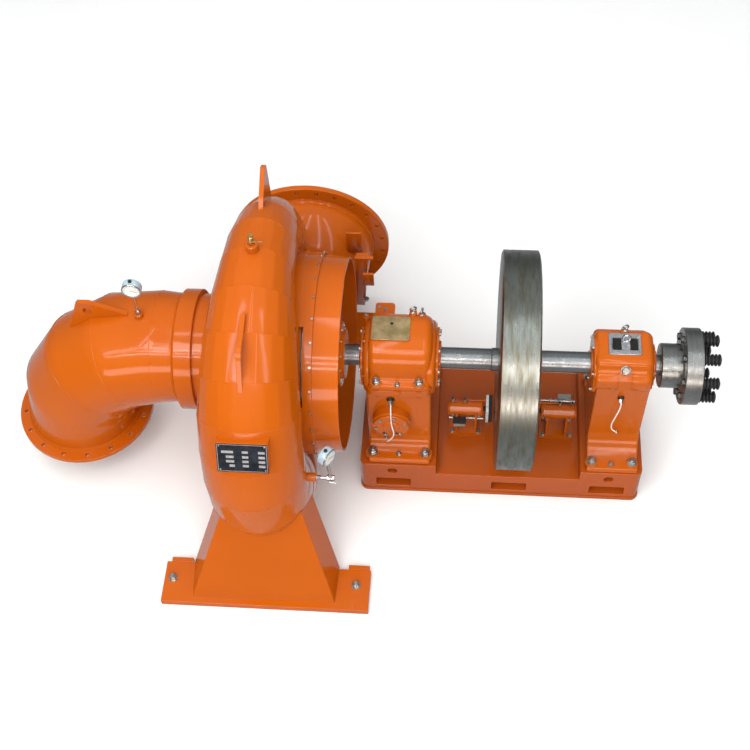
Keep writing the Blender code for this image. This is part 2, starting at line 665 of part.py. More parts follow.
def draft_side():
    """Draft cone plate, collar and mitred elbow that turns the water down."""
    left_out = TURBINE_X - RING_HALF_WIDTH
    neck = left_out - 0.025
    profile = [(left_out - GAP, 0.30), (left_out - GAP, 0.50), (neck, 0.50), (neck - 0.04, 0.32),
               (COLLAR_LEFT + COLLAR_WIDTH, 0.31), (COLLAR_LEFT + COLLAR_WIDTH, COLLAR_RADIUS),
               (COLLAR_LEFT, COLLAR_RADIUS), (COLLAR_LEFT, 0.296), (neck - 0.04, 0.29)]
    turned("draft_collar", profile, ENAMEL)
    outer = elbow_tube("draft_elbow", 0.0)
    outer.data.materials.append(finish("draft_elbow_finish", *ENAMEL))
    cut(outer, elbow_tube("elbow_hollow_cut", -ELBOW_WALL, 0.05))
    low, high = DRAFT_FLANGE_TOP - DRAFT_FLANGE_THICKNESS, DRAFT_FLANGE_TOP - GAP
    flange = tube("draft_flange", low, high, DRAFT_FLANGE_RADIUS, DRAFT_PIPE_RADIUS - ELBOW_WALL, ENAMEL,
                  centre=(ELBOW_X, 0, 0), axis="Z")
    for k in range(DRAFT_HOLES):
        turn = 2.0 * math.pi * (k + 0.5) / DRAFT_HOLES
        place = (ELBOW_X + DRAFT_BOLT_CIRCLE * math.cos(turn), DRAFT_BOLT_CIRCLE * math.sin(turn), 0)
        cut(flange, tube("flange_hole_cut", low - 0.02, high + 0.02, 0.012, segments=8, centre=place, axis="Z"))
    gusset = [(-2.44, 1.045), (-2.36, 1.265), (-2.345, 1.28), (-2.285, 1.28), (-2.27, 1.272), (-2.09, 1.19)]
    weld(outer, prism("elbow_lug_shape", gusset, -0.013, 0.013, "Y"))
    cut(outer, tube("elbow_lug_hole_cut", -0.05, 0.05, 0.022, segments=16, centre=(-2.306, 0.0, 1.215), axis="Y"))
    weld(outer, tube("elbow_boss_shape", ELBOW_BOSS_TOP - 0.05, ELBOW_BOSS_TOP, 0.024, segments=12,
                     centre=(*ELBOW_GAUGE, 0.0), axis="Z"))


def elbow_tube(name, grow, overrun=0.0):
    """Mitred bend from the collar, along -X, then down to the draft flange."""
    axis_height = SHAFT_HEIGHT + ELBOW_RISE
    bend_x = ELBOW_X + ELBOW_BEND
    bend_z = axis_height - ELBOW_BEND
    start = COLLAR_LEFT - GAP
    stations = [(Vector((start + overrun, 0, axis_height)), 0.0, ELBOW_RADIUS)]
    stations.append((Vector((bend_x, 0, axis_height)), 0.0, (ELBOW_RADIUS + BEND_RADIUS) / 2))
    for k in range(1, 5):
        lean = 90.0 * k / 4
        turn = math.radians(90.0 + lean)
        place = Vector((bend_x + ELBOW_BEND * math.cos(turn), 0, bend_z + ELBOW_BEND * math.sin(turn)))
        stations.append((place, lean, BEND_RADIUS + (DRAFT_PIPE_RADIUS - BEND_RADIUS) * k / 4))
    stations.append((Vector((ELBOW_X, 0, DRAFT_FLANGE_TOP - overrun)), 90.0, DRAFT_PIPE_RADIUS))
    rings = []
    for place, lean, radius in stations:
        tip = math.radians(lean)
        up = Vector((-math.sin(tip), 0, math.cos(tip)))
        side = Vector((0, 1, 0))
        ring = []
        for k in range(24):
            phi = 2.0 * math.pi * k / 24
            ring.append(place + up * ((radius + grow) * math.cos(phi)) + side * ((radius + grow) * math.sin(phi)))
        rings.append(ring)
    return loft(name, rings)


def inlet_flange():
    near = INLET_END + GAP
    far = near + INLET_FLANGE_THICKNESS
    centre = Vector((INLET_X, 0.0, SHAFT_HEIGHT - INLET_DROP))
    flange = tube("inlet_flange", near, far, INLET_FLANGE_RADIUS, INLET_RADIUS - SCROLL_WALL, ENAMEL,
                  centre=centre, axis="Y")
    for k in range(INLET_HOLES):
        turn = 2.0 * math.pi * (k + 0.5) / INLET_HOLES
        place = centre + Vector((math.cos(turn), 0, math.sin(turn))) * INLET_BOLT_CIRCLE
        cut(flange, tube("inlet_hole_cut", near - 0.02, far + 0.02, 0.013, segments=8, centre=place, axis="Y"))
    return flange


FOOT_PLATE = 0.045


def feet():
    """Front foot under the spiral's nose and rear saddle under the inlet duct."""
    front = block("scroll_foot_front", (-1.915, -1.135, 0.0), (-0.765, -0.905, FOOT_PLATE), ENAMEL)
    rings = [[Vector((-1.715, -1.105, 0.02)), Vector((-0.945, -1.105, 0.02)), Vector((-0.945, -0.885, 0.02)),
              Vector((-1.715, -0.885, 0.02))],
             [Vector((-1.53, -0.86, 0.62)), Vector((-1.11, -0.86, 0.62)), Vector((-1.11, -0.66, 0.62)),
              Vector((-1.53, -0.66, 0.62))]]
    weld(front, loft("foot_column_shape", rings))
    cut(front, scroll_tube("foot_scroll_cut", 2 * GAP, 150.0))
    rear = block("scroll_foot_rear", (-1.80, 0.70, 0.0), (-0.78, 0.93, FOOT_PLATE), ENAMEL)
    weld(rear, block("saddle_shape", (-1.48, 0.74, 0.02), (-1.08, 0.89, 0.25)))
    cut(rear, duct_tube("foot_duct_cut", 3 * GAP))


def surface_frame(angle, phi):
    """Point and outward direction on the spiral at a section angle and an angle round the section."""
    turn, roll = math.radians(angle), math.radians(phi)
    out = Vector((0.0, math.cos(turn), math.sin(turn)))
    half_height, half_width = scroll_half_height(angle), scroll_half_width(angle)
    middle = Vector((TURBINE_X, 0.0, SHAFT_HEIGHT)) + out * (SCROLL_INNER_RADIUS + half_height)
    point = middle + out * (half_height * math.cos(roll)) + Vector((half_width * math.sin(roll), 0, 0))
    normal = (out * (math.cos(roll) / half_height) + Vector((math.sin(roll) / half_width, 0, 0))).normalized()
    return point, normal


def nameplate():
    """Bare plate on a raised pad that follows the spiral."""
    point, normal = surface_frame(PLATE_ANGLE, 0)
    point.x = PLATE_X
    side = Vector((1, 0, 0))
    side = (side - normal * side.dot(normal)).normalized()
    up = normal.cross(side)
    half_length, half_height = PLATE_SIZE[0] / 2, PLATE_SIZE[1] / 2
    corners = ((-1, -1), (1, -1), (1, 1), (-1, 1))
    rings = []
    for lift in (-0.06, PLATE_LIFT):
        rings.append([point + normal * lift + side * (a * half_length) + up * (b * half_height)
                      for a, b in corners])
    pad = loft("nameplate", rings, LINING)
    cut(pad, scroll_tube("plate_scroll_cut", GAP, 120.0))


def vent_cock():
    """Brass air cock on top of the spiral, with its lever on a cross pin."""
    base = VENT_BOTTOM + GAP
    body = turned("vent_cock", [(base, 0.0), (base, 0.019), (base + 0.014, 0.019), (base + 0.014, 0.012),
                                (base + 0.062, 0.012), (base + 0.062, 0.0)], BRASS, 12, (VENT_X, VENT_Y, 0.0), "Z")
    pin_place = Vector((VENT_X, VENT_Y, base + VENT_PIN_RISE))
    weld(body, tube("plug_shape", -0.020, 0.016, 0.010, segments=12, centre=pin_place, axis="Y"))
    weld(body, tube("lever_pin_shape", -0.030, -0.015, 0.004, segments=8, centre=pin_place, axis="Y"))
    lever = tube("vent_cock_lever", -0.0265, -0.0203, 0.009, bore(0.004, 8), BRASS, 8, pin_place, "Y")
    weld(lever, block("lever_bar_shape", (0.0065, -0.0255, -0.004), (0.062, -0.0213, 0.004), location=pin_place))


def gauge(name, seat, stem, middle, axis):
    """Pressure gauge: fitting on its boss, stem, and a round case with a raised bezel."""
    case = turned(name, [(-0.024, 0.0), (-0.024, 0.046), (-0.018, 0.052), (0.020, 0.052), (0.020, 0.047),
                         (0.024, 0.047), (0.024, 0.0)], GAUGE, 24, middle, axis)
    weld(case, stem)
    weld(case, seat)
    return case


def rod_between(name, start, end, radius, segments=10):
    """Round rod between two points."""
    start, end = Vector(start), Vector(end)
    run = end - start
    side = run.orthogonal().normalized()
    other = run.normalized().cross(side)
    rings = []
    for place in (start, end):
        rings.append([place + side * (radius * math.cos(2 * math.pi * k / segments))
                      + other * (radius * math.sin(2 * math.pi * k / segments)) for k in range(segments)])
    return loft(name, rings)


def gauges():
    """Scroll gauge on a side pipe with its cock, and elbow gauge on a leaning stem."""
    cock = Vector((GAUGE_COCK_X, GAUGE_Y, GAUGE_Z))
    middle = Vector((GAUGE_COCK_X - 0.008, GAUGE_Y, GAUGE_Z + GAUGE_RISE))
    pipe = rod_between("gauge_pipe_shape", (GAUGE_PIPE_START + GAP, GAUGE_Y, GAUGE_Z), cock, 0.009)
    stem = rod_between("gauge_stem_shape", cock + Vector((0, 0, -0.022)), middle + Vector((0, 0, -0.03)), 0.009)
    case = gauge("gauge_scroll", stem, pipe, middle, "X")
    weld(case, tube("gauge_cock_shape", -0.022, 0.022, 0.019, segments=8, centre=cock))
    seat = Vector((*ELBOW_GAUGE, ELBOW_BOSS_TOP + GAP))
    middle = seat + Vector((0.008, 0.0, ELBOW_GAUGE_RISE))
    lower = rod_between("elbow_gauge_nut_shape", seat, seat + Vector((0, 0, 0.03)), 0.017)
    stem = rod_between("elbow_gauge_stem_shape", seat + Vector((0, 0, 0.02)), middle + Vector((0, 0, -0.03)), 0.009)
    gauge("gauge_elbow", lower, stem, middle, "Y")


def link_bracket():
    """Box bracket on the side of the inlet duct and the hanging post of the regulating ring's link."""
    top = 0.872
    bracket = block("link_bracket", (-0.932, 0.67, 0.40), (-0.872, 0.80, top), ENAMEL)
    weld(bracket, block("cap_plate_shape", (-0.940, 0.66, top - 0.002), (-0.832, 0.74, top + 0.014)))
    for y in (0.79, 0.875):
        outline = ((-1.06, 0.62), (-0.92, 0.70), (-0.92, top - 0.01), (-1.06, top - 0.01))
        weld(bracket, prism("gusset_shape", outline, y, y + 0.014, "Y"))
    weld(bracket, block("tie_plate_shape", (-1.05, 0.78, top - 0.02), (-0.925, 0.889, top - 0.006)))
    weld(bracket, block("guide_shape", (-0.90, 0.69, 0.70), (-0.835, 0.72, top)))
    weld(bracket, block("clevis_shape", (-0.888, 0.60, 0.735), (-0.822, 0.70, 0.835)))
    cut(bracket, duct_tube("bracket_duct_cut", GAP))


def rear_bracket():
    """Small plate at the back of the main bearing's split flange."""
    block("rear_bracket", (-0.785, FLANGE_HALF_DEPTH + GAP, SHAFT_HEIGHT - 0.02),
          (-0.675, FLANGE_HALF_DEPTH + 0.12, SHAFT_HEIGHT + 0.02), ENAMEL)


base_frame()
main_bearing_base()
main_bearing_cap()
bearing_covers()
bearing_fittings()
outboard_bearing()
brake(-1, FLYWHEEL_LEFT)
brake(1, FLYWHEEL_RIGHT)
shaft()
flywheel()
coupling()
scroll_case()
side_rings()
head_cover()
gate_ring()
guide_band()
drum()
seal_housing()
runner()
draft_side()
inlet_flange()
feet()
nameplate()
vent_cock()
gauges()
link_bracket()
rear_bracket()
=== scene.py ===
"""Looks of a horizontal Francis turbine set: spiral case, draft elbow, bearings, flywheel, coupling.

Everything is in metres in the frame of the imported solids: +X along the shaft towards the coupling,
+Y to the back, +Z up, with the floor at z = 0.
"""
import math
import bmesh
import bpy
from mathutils import Matrix, Vector


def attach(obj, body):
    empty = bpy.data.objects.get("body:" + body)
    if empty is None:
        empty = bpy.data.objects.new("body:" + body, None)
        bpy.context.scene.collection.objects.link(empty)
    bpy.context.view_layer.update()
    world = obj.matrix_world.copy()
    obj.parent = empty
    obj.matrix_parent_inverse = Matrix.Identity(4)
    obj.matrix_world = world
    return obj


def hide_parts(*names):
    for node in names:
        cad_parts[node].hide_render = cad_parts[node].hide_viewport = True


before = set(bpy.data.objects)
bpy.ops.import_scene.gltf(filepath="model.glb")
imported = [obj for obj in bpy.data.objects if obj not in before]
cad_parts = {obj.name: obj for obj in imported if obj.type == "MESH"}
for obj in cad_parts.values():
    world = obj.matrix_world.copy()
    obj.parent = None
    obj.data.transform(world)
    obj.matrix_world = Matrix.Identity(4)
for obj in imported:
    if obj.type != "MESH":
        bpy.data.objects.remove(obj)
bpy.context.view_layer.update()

# Camera: where it stands, and its turn, dip and tilt in degrees
CAMERA_PLACE = Vector((-0.2718, -3.9902, 6.5011))
CAMERA_TURN = -7.179
CAMERA_DIP = 55.325
CAMERA_TILT = -3.846
CAMERA_LENS = 60.24
SENSOR_WIDTH = 36.0

# Shaft line
SHAFT_HEIGHT = 0.88
AXIS = Vector((0.0, 0.0, SHAFT_HEIGHT))
ALONG = Vector((1, 0, 0))
BACK = Vector((0, 1, 0))
UP = Vector((0, 0, 1))
# Bore of the covers and casings that the shaft runs through
COVER_BORE = 0.0605
# Gap left between machined faces that are bolted together
SEAT_GAP = 0.0003
# Faces of the flywheel
FLYWHEEL_LEFT, FLYWHEEL_RIGHT = -0.093, 0.109
# Edges that turn by more degrees than this shade hard
SHARP_ANGLE = 32


# Finishes

def srgb(code):
    """Linear colour from an sRGB hex code such as E8641A."""
    channels = [int(code[i:i + 2], 16) / 255 for i in (0, 2, 4)]
    linear = [c / 12.92 if c <= 0.04045 else ((c + 0.055) / 1.055) ** 2.4 for c in channels]
    return (*linear, 1.0)


def add(tree, kind, inputs=None, **settings):
    """Add a node with its settings, and fill its sockets from values or from other nodes."""
    made = tree.nodes.new("ShaderNode" + kind)
    for name, value in settings.items():
        setattr(made, name, value)
    for name, value in (inputs or {}).items():
        if isinstance(value, bpy.types.NodeSocket):
            tree.links.new(value, made.inputs[name])
        else:
            made.inputs[name].default_value = value
    return made


def feed(tree, shader, **sockets):
    """Link outputs to a shader's sockets; an underscore in a name stands for a space."""
    for socket, output in sockets.items():
        tree.links.new(output, shader.inputs[socket.replace("_", " ")])


def blank(name, **sockets):
    """Material with a Principled shader whose plain sockets are set, and its tree."""
    mat = bpy.data.materials.new(name)
    mat.use_nodes = True
    tree = mat.node_tree
    shader = tree.nodes["Principled BSDF"]
    for socket, value in sockets.items():
        shader.inputs[socket.replace("_", " ")].default_value = value
    return mat, tree, shader


def enamel_finish(name, wave_size, wave_depth, film_dark="AE4E07", film_light="BA590C", dust_share=0.22):
    """Glossy orange enamel on steel: a clear wet gloss whose reflections break on the steel's own waves.

    wave_size is the distance between humps of the plate or casting, wave_depth their height."""
    mat, tree, shader = blank(name, Specular_IOR_Level=0.08, Coat_Weight=0.55, Coat_Roughness=0.08,
                              Coat_IOR=1.42)
    place = add(tree, "TexCoord").outputs["Object"]
    clouds = add(tree, "TexNoise", {"Vector": place, "Scale": 1 / 0.45, "Detail": 3.0})
    film = add(tree, "Mix", {0: clouds.outputs["Fac"], 6: srgb(film_dark), 7: srgb(film_light)},
               data_type="RGBA")
    dust = add(tree, "TexNoise", {"Vector": place, "Scale": 1 / 0.030, "Detail": 6.0, "Roughness": 0.7})
    dusty = add(tree, "MapRange", {"Value": dust.outputs["Fac"], "From Min": 0.60, "From Max": 0.85,
                                   "To Min": 0.0, "To Max": dust_share})
    colour = add(tree, "Mix", {0: dusty.outputs["Result"], 6: film.outputs[2], 7: srgb("A5572B")},
                 data_type="RGBA")
    gloss = add(tree, "MapRange", {"Value": dust.outputs["Fac"], "From Min": 0.45, "From Max": 0.85,
                                   "To Min": 0.16, "To Max": 0.38})
    waves = add(tree, "TexNoise", {"Vector": place, "Scale": 1 / wave_size, "Detail": 2.0})
    # Orange peel is about 2 mm apart, drawn at 7 mm because 2 mm is too fine to show
    peel = add(tree, "TexNoise", {"Vector": place, "Scale": 1 / 0.007, "Detail": 1.0})
    coarse = add(tree, "Bump", {"Height": waves.outputs["Fac"], "Distance": wave_depth, "Strength": 1.0})
    fine = add(tree, "Bump", {"Height": peel.outputs["Fac"], "Distance": 0.00006, "Strength": 1.0,
                              "Normal": coarse.outputs["Normal"]})
    feed(tree, shader, Base_Color=colour.outputs[2], Roughness=gloss.outputs["Result"],
         Normal=fine.outputs["Normal"], Coat_Normal=fine.outputs["Normal"])
    return mat


def turned_steel(name, light, dark, stain, stain_share, groove):
    """Turned steel that runs around the shaft: fine tool marks in light and dark streaks that also paint the
    sheen the grooves catch, and oil stains drawn out by the turning.

    groove is the distance between tool marks that show."""
    mat, tree, shader = blank(name, Metallic=1.0, Roughness=0.3)
    place = add(tree, "TexCoord").outputs["Object"]
    centred = add(tree, "VectorMath", {0: place, 1: AXIS}, operation="SUBTRACT")
    across = add(tree, "VectorMath", {0: centred.outputs[0], 1: (0, 1, 1)}, operation="MULTIPLY")
    radius = add(tree, "VectorMath", {0: across.outputs[0]}, operation="LENGTH")
    around = add(tree, "VectorMath", {0: across.outputs[0]}, operation="NORMALIZE")
    parts = add(tree, "SeparateXYZ", {0: centred.outputs[0]})
    travel = add(tree, "Math", {0: parts.outputs["X"], 1: radius.outputs["Value"]}, operation="ADD")
    spread = add(tree, "CombineXYZ", {"X": travel.outputs[0]})
    marks_at = add(tree, "VectorMath", {0: spread.outputs[0], 1: (1 / groove, 0, 0)}, operation="MULTIPLY")
    marks_bent = add(tree, "VectorMath", {0: around.outputs[0], 1: (1.2, 1.2, 1.2), 2: marks_at.outputs[0]},
                     operation="MULTIPLY_ADD")
    marks = add(tree, "TexNoise", {"Vector": marks_bent.outputs[0], "Scale": 1.0, "Detail": 4.0,
                                   "Roughness": 0.65})
    runs_at = add(tree, "VectorMath", {0: spread.outputs[0], 1: (1 / 0.022, 0, 0)}, operation="MULTIPLY")
    runs_bent = add(tree, "VectorMath", {0: around.outputs[0], 1: (4.5, 4.5, 4.5), 2: runs_at.outputs[0]},
                    operation="MULTIPLY_ADD")
    runs = add(tree, "TexNoise", {"Vector": runs_bent.outputs[0], "Scale": 1.0, "Detail": 5.0,
                                  "Roughness": 0.6})
    # Light and dark streaks along the tool marks: partly the metal's own tone, partly painted sheen of the
    # grooves
    tool_marks_and_sheen = add(tree, "Mix", {0: marks.outputs["Fac"], 6: srgb(dark), 7: srgb(light)}, data_type="RGBA")
    stained = add(tree, "MapRange", {"Value": runs.outputs["Fac"], "From Min": 0.42, "From Max": 0.70,
                                     "To Min": 0.0, "To Max": stain_share})
    colour = add(tree, "Mix", {0: stained.outputs["Result"], 6: tool_marks_and_sheen.outputs[2], 7: srgb(stain)},
                 data_type="RGBA")
    dull = add(tree, "MapRange", {"Value": runs.outputs["Fac"], "From Min": 0.35, "From Max": 0.75,
                                  "To Min": 0.26, "To Max": 0.46})
    ribs = add(tree, "Bump", {"Height": marks.outputs["Fac"], "Distance": 0.00035, "Strength": 0.6})
    feed(tree, shader, Base_Color=colour.outputs[2], Roughness=dull.outputs["Result"],
         Normal=ribs.outputs["Normal"])
    return mat


def mottled(name, light, dark, patch, metallic, smooth, rough, bump_size=0.004, bump_depth=0.0001,
            **sockets):
    """Plain finish with patches of two tones, patch metres across, and a fine grain."""
    mat, tree, shader = blank(name, Metallic=metallic, **sockets)
    place = add(tree, "TexCoord").outputs["Object"]
    patches = add(tree, "TexNoise", {"Vector": place, "Scale": 1 / patch, "Detail": 5.0, "Roughness": 0.6})
    share = add(tree, "MapRange", {"Value": patches.outputs["Fac"], "From Min": 0.35, "From Max": 0.65})
    colour = add(tree, "Mix", {0: share.outputs["Result"], 6: srgb(dark), 7: srgb(light)}, data_type="RGBA")
    gloss = add(tree, "MapRange", {"Value": patches.outputs["Fac"], "From Min": 0.3, "From Max": 0.7,
                                   "To Min": smooth, "To Max": rough})
    grain = add(tree, "TexNoise", {"Vector": place, "Scale": 1 / bump_size, "Detail": 2.0})
    bump = add(tree, "Bump", {"Height": grain.outputs["Fac"], "Distance": bump_depth, "Strength": 1.0})
    feed(tree, shader, Base_Color=colour.outputs[2], Roughness=gloss.outputs["Result"],
         Normal=bump.outputs["Normal"])
    return mat


# Rolled plate has long shallow waves, filled castings have short ones
plate_enamel = enamel_finish("orange_enamel_on_rolled_plate", 0.16, 0.00035)
cast_enamel = enamel_finish("orange_enamel_on_filled_casting", 0.050, 0.0006)
# The base's film is darker than on the spiral and bearings: partly shop dust, partly painted shade for its
# low front and the recess between the pedestals
base_enamel_dust_and_shade = enamel_finish("orange_enamel_with_shop_dust_and_painted_shade", 0.080, 0.0005, "9E4510", "AC4E12", 0.75)
# Turned steel paints the sheen of its grooves into its streaks; on the coupling the two tones lie far apart
# as painted highlight streaks
flywheel_steel = turned_steel("turned_steel_with_oil_stain_and_painted_sheen", "9EA29C", "72766F", "665F45", 0.75, 0.004)
shaft_steel = turned_steel("ground_shaft_steel", "A9ADAE", "767A7C", "6B6656", 0.35, 0.003)
coupling_steel = turned_steel("turned_coupling_steel_with_painted_sheen", "B4B6B2", "5E605D", "57544A", 0.25, 0.003)
zinc = mottled("zinc_plated_steel", "C9CBC9", "8F8F86", 0.006, 1.0, 0.22, 0.42)
chrome = mottled("bright_plated_brass", "DADCDC", "B4B6B8", 0.010, 1.0, 0.10, 0.22)
brass = mottled("dull_sheet_brass", "D9C190", "B49C6B", 0.050, 1.0, 0.42, 0.60, 0.003, 0.00006)
cast_brass = mottled("cast_brass", "E0C684", "B4965A", 0.012, 1.0, 0.24, 0.42)
rubber = mottled("moulded_black_rubber", "202022", "0F0F10", 0.010, 0.0, 0.45, 0.65, 0.003, 0.00008)
lining = mottled("woven_brake_lining", "2A2A28", "151514", 0.004, 0.0, 0.65, 0.85, 0.003, 0.0003)
pad_steel = mottled("pale_primed_brake_plate", "D9DBD8", "B4B8B6", 0.012, 0.0, 0.35, 0.55)
gauge_enamel = mottled("pale_blue_grey_enamel", "A9C0C8", "93AAB3", 0.030, 0.0, 0.20, 0.32, 0.003, 0.00003,
                       Coat_Weight=0.5)
dial_white = mottled("printed_white_dial", "F0F0EA", "E4E4DC", 0.020, 0.0, 0.45, 0.55)
black_paint = mottled("black_anodised_plate", "3C434B", "2B3036", 0.030, 1.0, 0.30, 0.42)
silver_mark = mottled("bare_engraved_aluminium", "D8DADB", "B9BCBE", 0.010, 1.0, 0.28, 0.40)
clear_glass, _, _ = blank("clear_gauge_glass", Base_Color=srgb("FFFFFF"), Roughness=0.03,
                          Transmission_Weight=1.0)
dark_glass = mottled("dark_oily_sight_glass", "17150F", "0B0A08", 0.020, 0.0, 0.04, 0.10, 0.02, 0.0)
switch_grey = mottled("grey_painted_die_casting", "8E908B", "747671", 0.015, 0.0, 0.35, 0.50)
# Darker steel for the coupling pin nuts than the zinc of the other bolts
dark_nut_steel = mottled("darkened_steel_nuts", "7A7B78", "4E4F4D", 0.008, 1.0, 0.30, 0.45)
white_lead = mottled("white_pvc_lead", "F2EDE2", "DAD4C8", 0.020, 0.0, 0.30, 0.42)


# Shapes

def frame_of(place, along):
    """Matrix whose X runs along a direction, with its origin at a place."""
    along = Vector(along).normalized()
    side = along.orthogonal() if abs(along.x) < 0.999 else BACK
    side = (side - along * side.dot(along)).normalized()
    return Matrix.Translation(Vector(place)) @ Matrix((along, side, along.cross(side))).transposed().to_4x4()


def lathe(into, profile, place=AXIS, along=ALONG, segments=96):
    """Turned body about a line through place, from (along, radius) points; ends on the line close it."""
    matrix = frame_of(place, along)
    solid = profile[0][1] == 0.0
    inner = profile[1:-1] if solid else profile
    rows = []
    for k in range(segments):
        turn = math.tau * (k + 0.5) / segments
        rows.append([into.verts.new(matrix @ Vector((a, r * math.cos(turn), r * math.sin(turn))))
                     for a, r in inner])
    ends = [into.verts.new(matrix @ Vector((profile[i][0], 0, 0))) for i in (0, -1)] if solid else None
    steps = len(inner) - 1 if solid else len(inner)
    for here, there in zip(rows, rows[1:] + rows[:1]):
        for i in range(steps):
            j = (i + 1) % len(inner)
            into.faces.new((here[i], here[j], there[j], there[i]))
        if solid:
            into.faces.new((ends[0], here[0], there[0]))
            into.faces.new((ends[1], here[-1], there[-1]))


def knob(into, profile, place=AXIS, along=ALONG, segments=96):
    """Turned body that is full on its line, from the (along, radius) points between its two end faces."""
    lathe(into, [(profile[0][0], 0.0)] + profile + [(profile[-1][0], 0.0)], place, along, segments)


def outward(angle):
    """Direction square to the shaft, at degrees from the back, over the top."""
    turn = math.radians(angle)
    return Vector((0.0, math.cos(turn), math.sin(turn)))


def round_shaft(x, angle=0.0, radius=0.0):
    """Point at a place along the shaft, a radius away from its axis."""
    return Vector((x, 0, SHAFT_HEIGHT)) + outward(angle) * radius


def skin(into, rings, caps=True, round_trip=True):
    """Skin through rows of points; caps close its ends and round_trip joins each row to a ring."""
    rows = [[into.verts.new(p) for p in ring] for ring in rings]
    count = len(rows[0])
    for lower, upper in zip(rows, rows[1:]):
        for i in range(count if round_trip else count - 1):
            j = (i + 1) % count
            into.faces.new((lower[i], lower[j], upper[j], upper[i]))
    if caps:
        into.faces.new(rows[0])
        into.faces.new(rows[-1])


def push(into, outline, low, high, along="X"):
    """Outline pushed from low to high along an axis; the outline is in the other two axes."""
    places = {"X": lambda a, b, c: (c, a, b), "Y": lambda a, b, c: (a, c, b), "Z": lambda a, b, c: (a, b, c)}
    skin(into, [[Vector(places[along](a, b, c)) for a, b in outline] for c in (low, high)])


def inset(outline, distance):
    """Outline drawn in by a distance, its lowest points kept level."""
    count = len(outline)
    points = [Vector(p) for p in outline]
    turn = sum(points[i].x * points[(i + 1) % count].y - points[(i + 1) % count].x * points[i].y
               for i in range(count))
    base = min(p.y for p in points)
    drawn = []
    for i, p in enumerate(points):
        before, after = (p - points[i - 1]).normalized(), (points[(i + 1) % count] - p).normalized()
        first, second = Vector((-before.y, before.x)), Vector((-after.y, after.x))
        step = (first + second) / max(0.5, 1.0 + first.dot(second)) * math.copysign(distance, turn)
        moved = p + step
        drawn.append((moved.x, base if p.y < base + 1e-6 else moved.y))
    return drawn


def casting(into, outline, low, high, left_radius, right_radius):
    """Outline pushed along the shaft, its ends rounded over like a casting."""
    turns = [math.radians(90 * k / 6) for k in range(7)]
    rows = [(low + left_radius * (1 - math.cos(t)), left_radius * (1 - math.sin(t))) for t in turns]
    rows += [(high - right_radius * (1 - math.cos(t)), right_radius * (1 - math.sin(t)))
             for t in reversed(turns)]
    skin(into, [[Vector((x, y, z)) for y, z in inset(outline, d)] for x, d in rows])


def slab(into, low, high):
    """Plate or block between two corners."""
    outline = ((low[0], low[1]), (high[0], low[1]), (high[0], high[1]), (low[0], high[1]))
    push(into, outline, low[2], high[2], "Z")


def arc(centre, radius, start, end, steps):
    """Points along an arc in a plane, angles in degrees."""
    turns = [math.radians(start + (end - start) * i / steps) for i in range(steps + 1)]
    return [(centre[0] + radius * math.cos(t), centre[1] + radius * math.sin(t)) for t in turns]


def round_corners(low, high, radius):
    """Rectangle with round corners."""
    corners = (((high[0] - radius, low[1] + radius), -90), ((high[0] - radius, high[1] - radius), 0),
               ((low[0] + radius, high[1] - radius), 90), ((low[0] + radius, low[1] + radius), 180))
    return [p for centre, start in corners for p in arc(centre, radius, start, start + 90, 5)]


def rope(into, points, radius, segments=10, closed=False):
    """Round bar, bead or lead along a line of points."""
    points = [Vector(p) for p in points]
    count = len(points)
    rows = []
    side = None
    for i, p in enumerate(points):
        ahead = points[(i + 1) % count] if closed or i < count - 1 else p
        behind = points[i - 1] if closed or i else p
        run = (ahead - behind).normalized()
        side = run.orthogonal().normalized() if side is None else (side - run * side.dot(run)).normalized()
        other = run.cross(side)
        turns = [math.tau * k / segments for k in range(segments)]
        rows.append([p + (side * math.cos(t) + other * math.sin(t)) * radius for t in turns])
    skin(into, rows + rows[:1] if closed else rows, caps=not closed)


def curve_through(points, steps):
    """Smooth line through points."""
    points = [Vector(p) for p in points]
    line = []
    for i in range(len(points) - 1):
        a, b = points[i], points[i + 1]
        before, after = points[max(i - 1, 0)], points[min(i + 2, len(points) - 1)]
        for k in range(steps):
            t = k / steps
            line.append(0.5 * (2 * a + (b - before) * t + (2 * before - 5 * a + 4 * b - after) * t * t
                               + (3 * a - before - 3 * b + after) * t ** 3))
    return line + [points[-1]]


def hex_bolt(into, place, along, size, washer=True, stud=0.0):
    """Hexagon head on a washer.

    size is the thread diameter, and stud is how far a thread stands out of a nut."""
    place, along = Vector(place), Vector(along).normalized()
    seat = 0.16 * size if washer else 0.0
    if washer:
        knob(into, [(0, size), (seat, size)], place, along, 28)
    across = 0.90 * size
    lathe(into, [(seat, 0), (seat, across), (seat + 0.55 * size, across),
                 (seat + 0.66 * size, 0.84 * across), (seat + 0.66 * size, 0)], place, along, 6)
    if stud:
        tip = seat + 0.66 * size + stud
        knob(into, [(seat, size / 2), (tip - 0.1 * size, size / 2), (tip, 0.4 * size)], place, along, 16)


def cap_screw(into, place, along, size):
    """Round screw head with a hexagon socket; size is the thread diameter."""
    high, wide = size, 0.75 * size
    lathe(into, [(-0.1 * size, 0), (-0.1 * size, wide), (0.88 * high, wide), (high, 0.9 * wide),
                 (high, 0.52 * wide), (0.5 * high, 0.52 * wide), (0.5 * high, 0)], place, along, 24)


def eye_bolt(into, place, size, turn=0.0):
    """Lifting eye on its collar; size is the thread diameter and turn the eye's heading in degrees."""
    place = Vector(place)
    lathe(into, [(0, 0), (0, 0.95 * size), (0.35 * size, 0.85 * size), (0.6 * size, 0.5 * size),
                 (0.9 * size, 0)], place, UP, 24)
    heading = Vector((math.cos(math.radians(turn)), math.sin(math.radians(turn)), 0))
    centre = place + UP * 1.75 * size
    loop = [centre + (heading * math.cos(math.tau * k / 24) + UP * math.sin(math.tau * k / 24)) * size
            for k in range(24)]
    rope(into, loop, 0.32 * size, 10, closed=True)


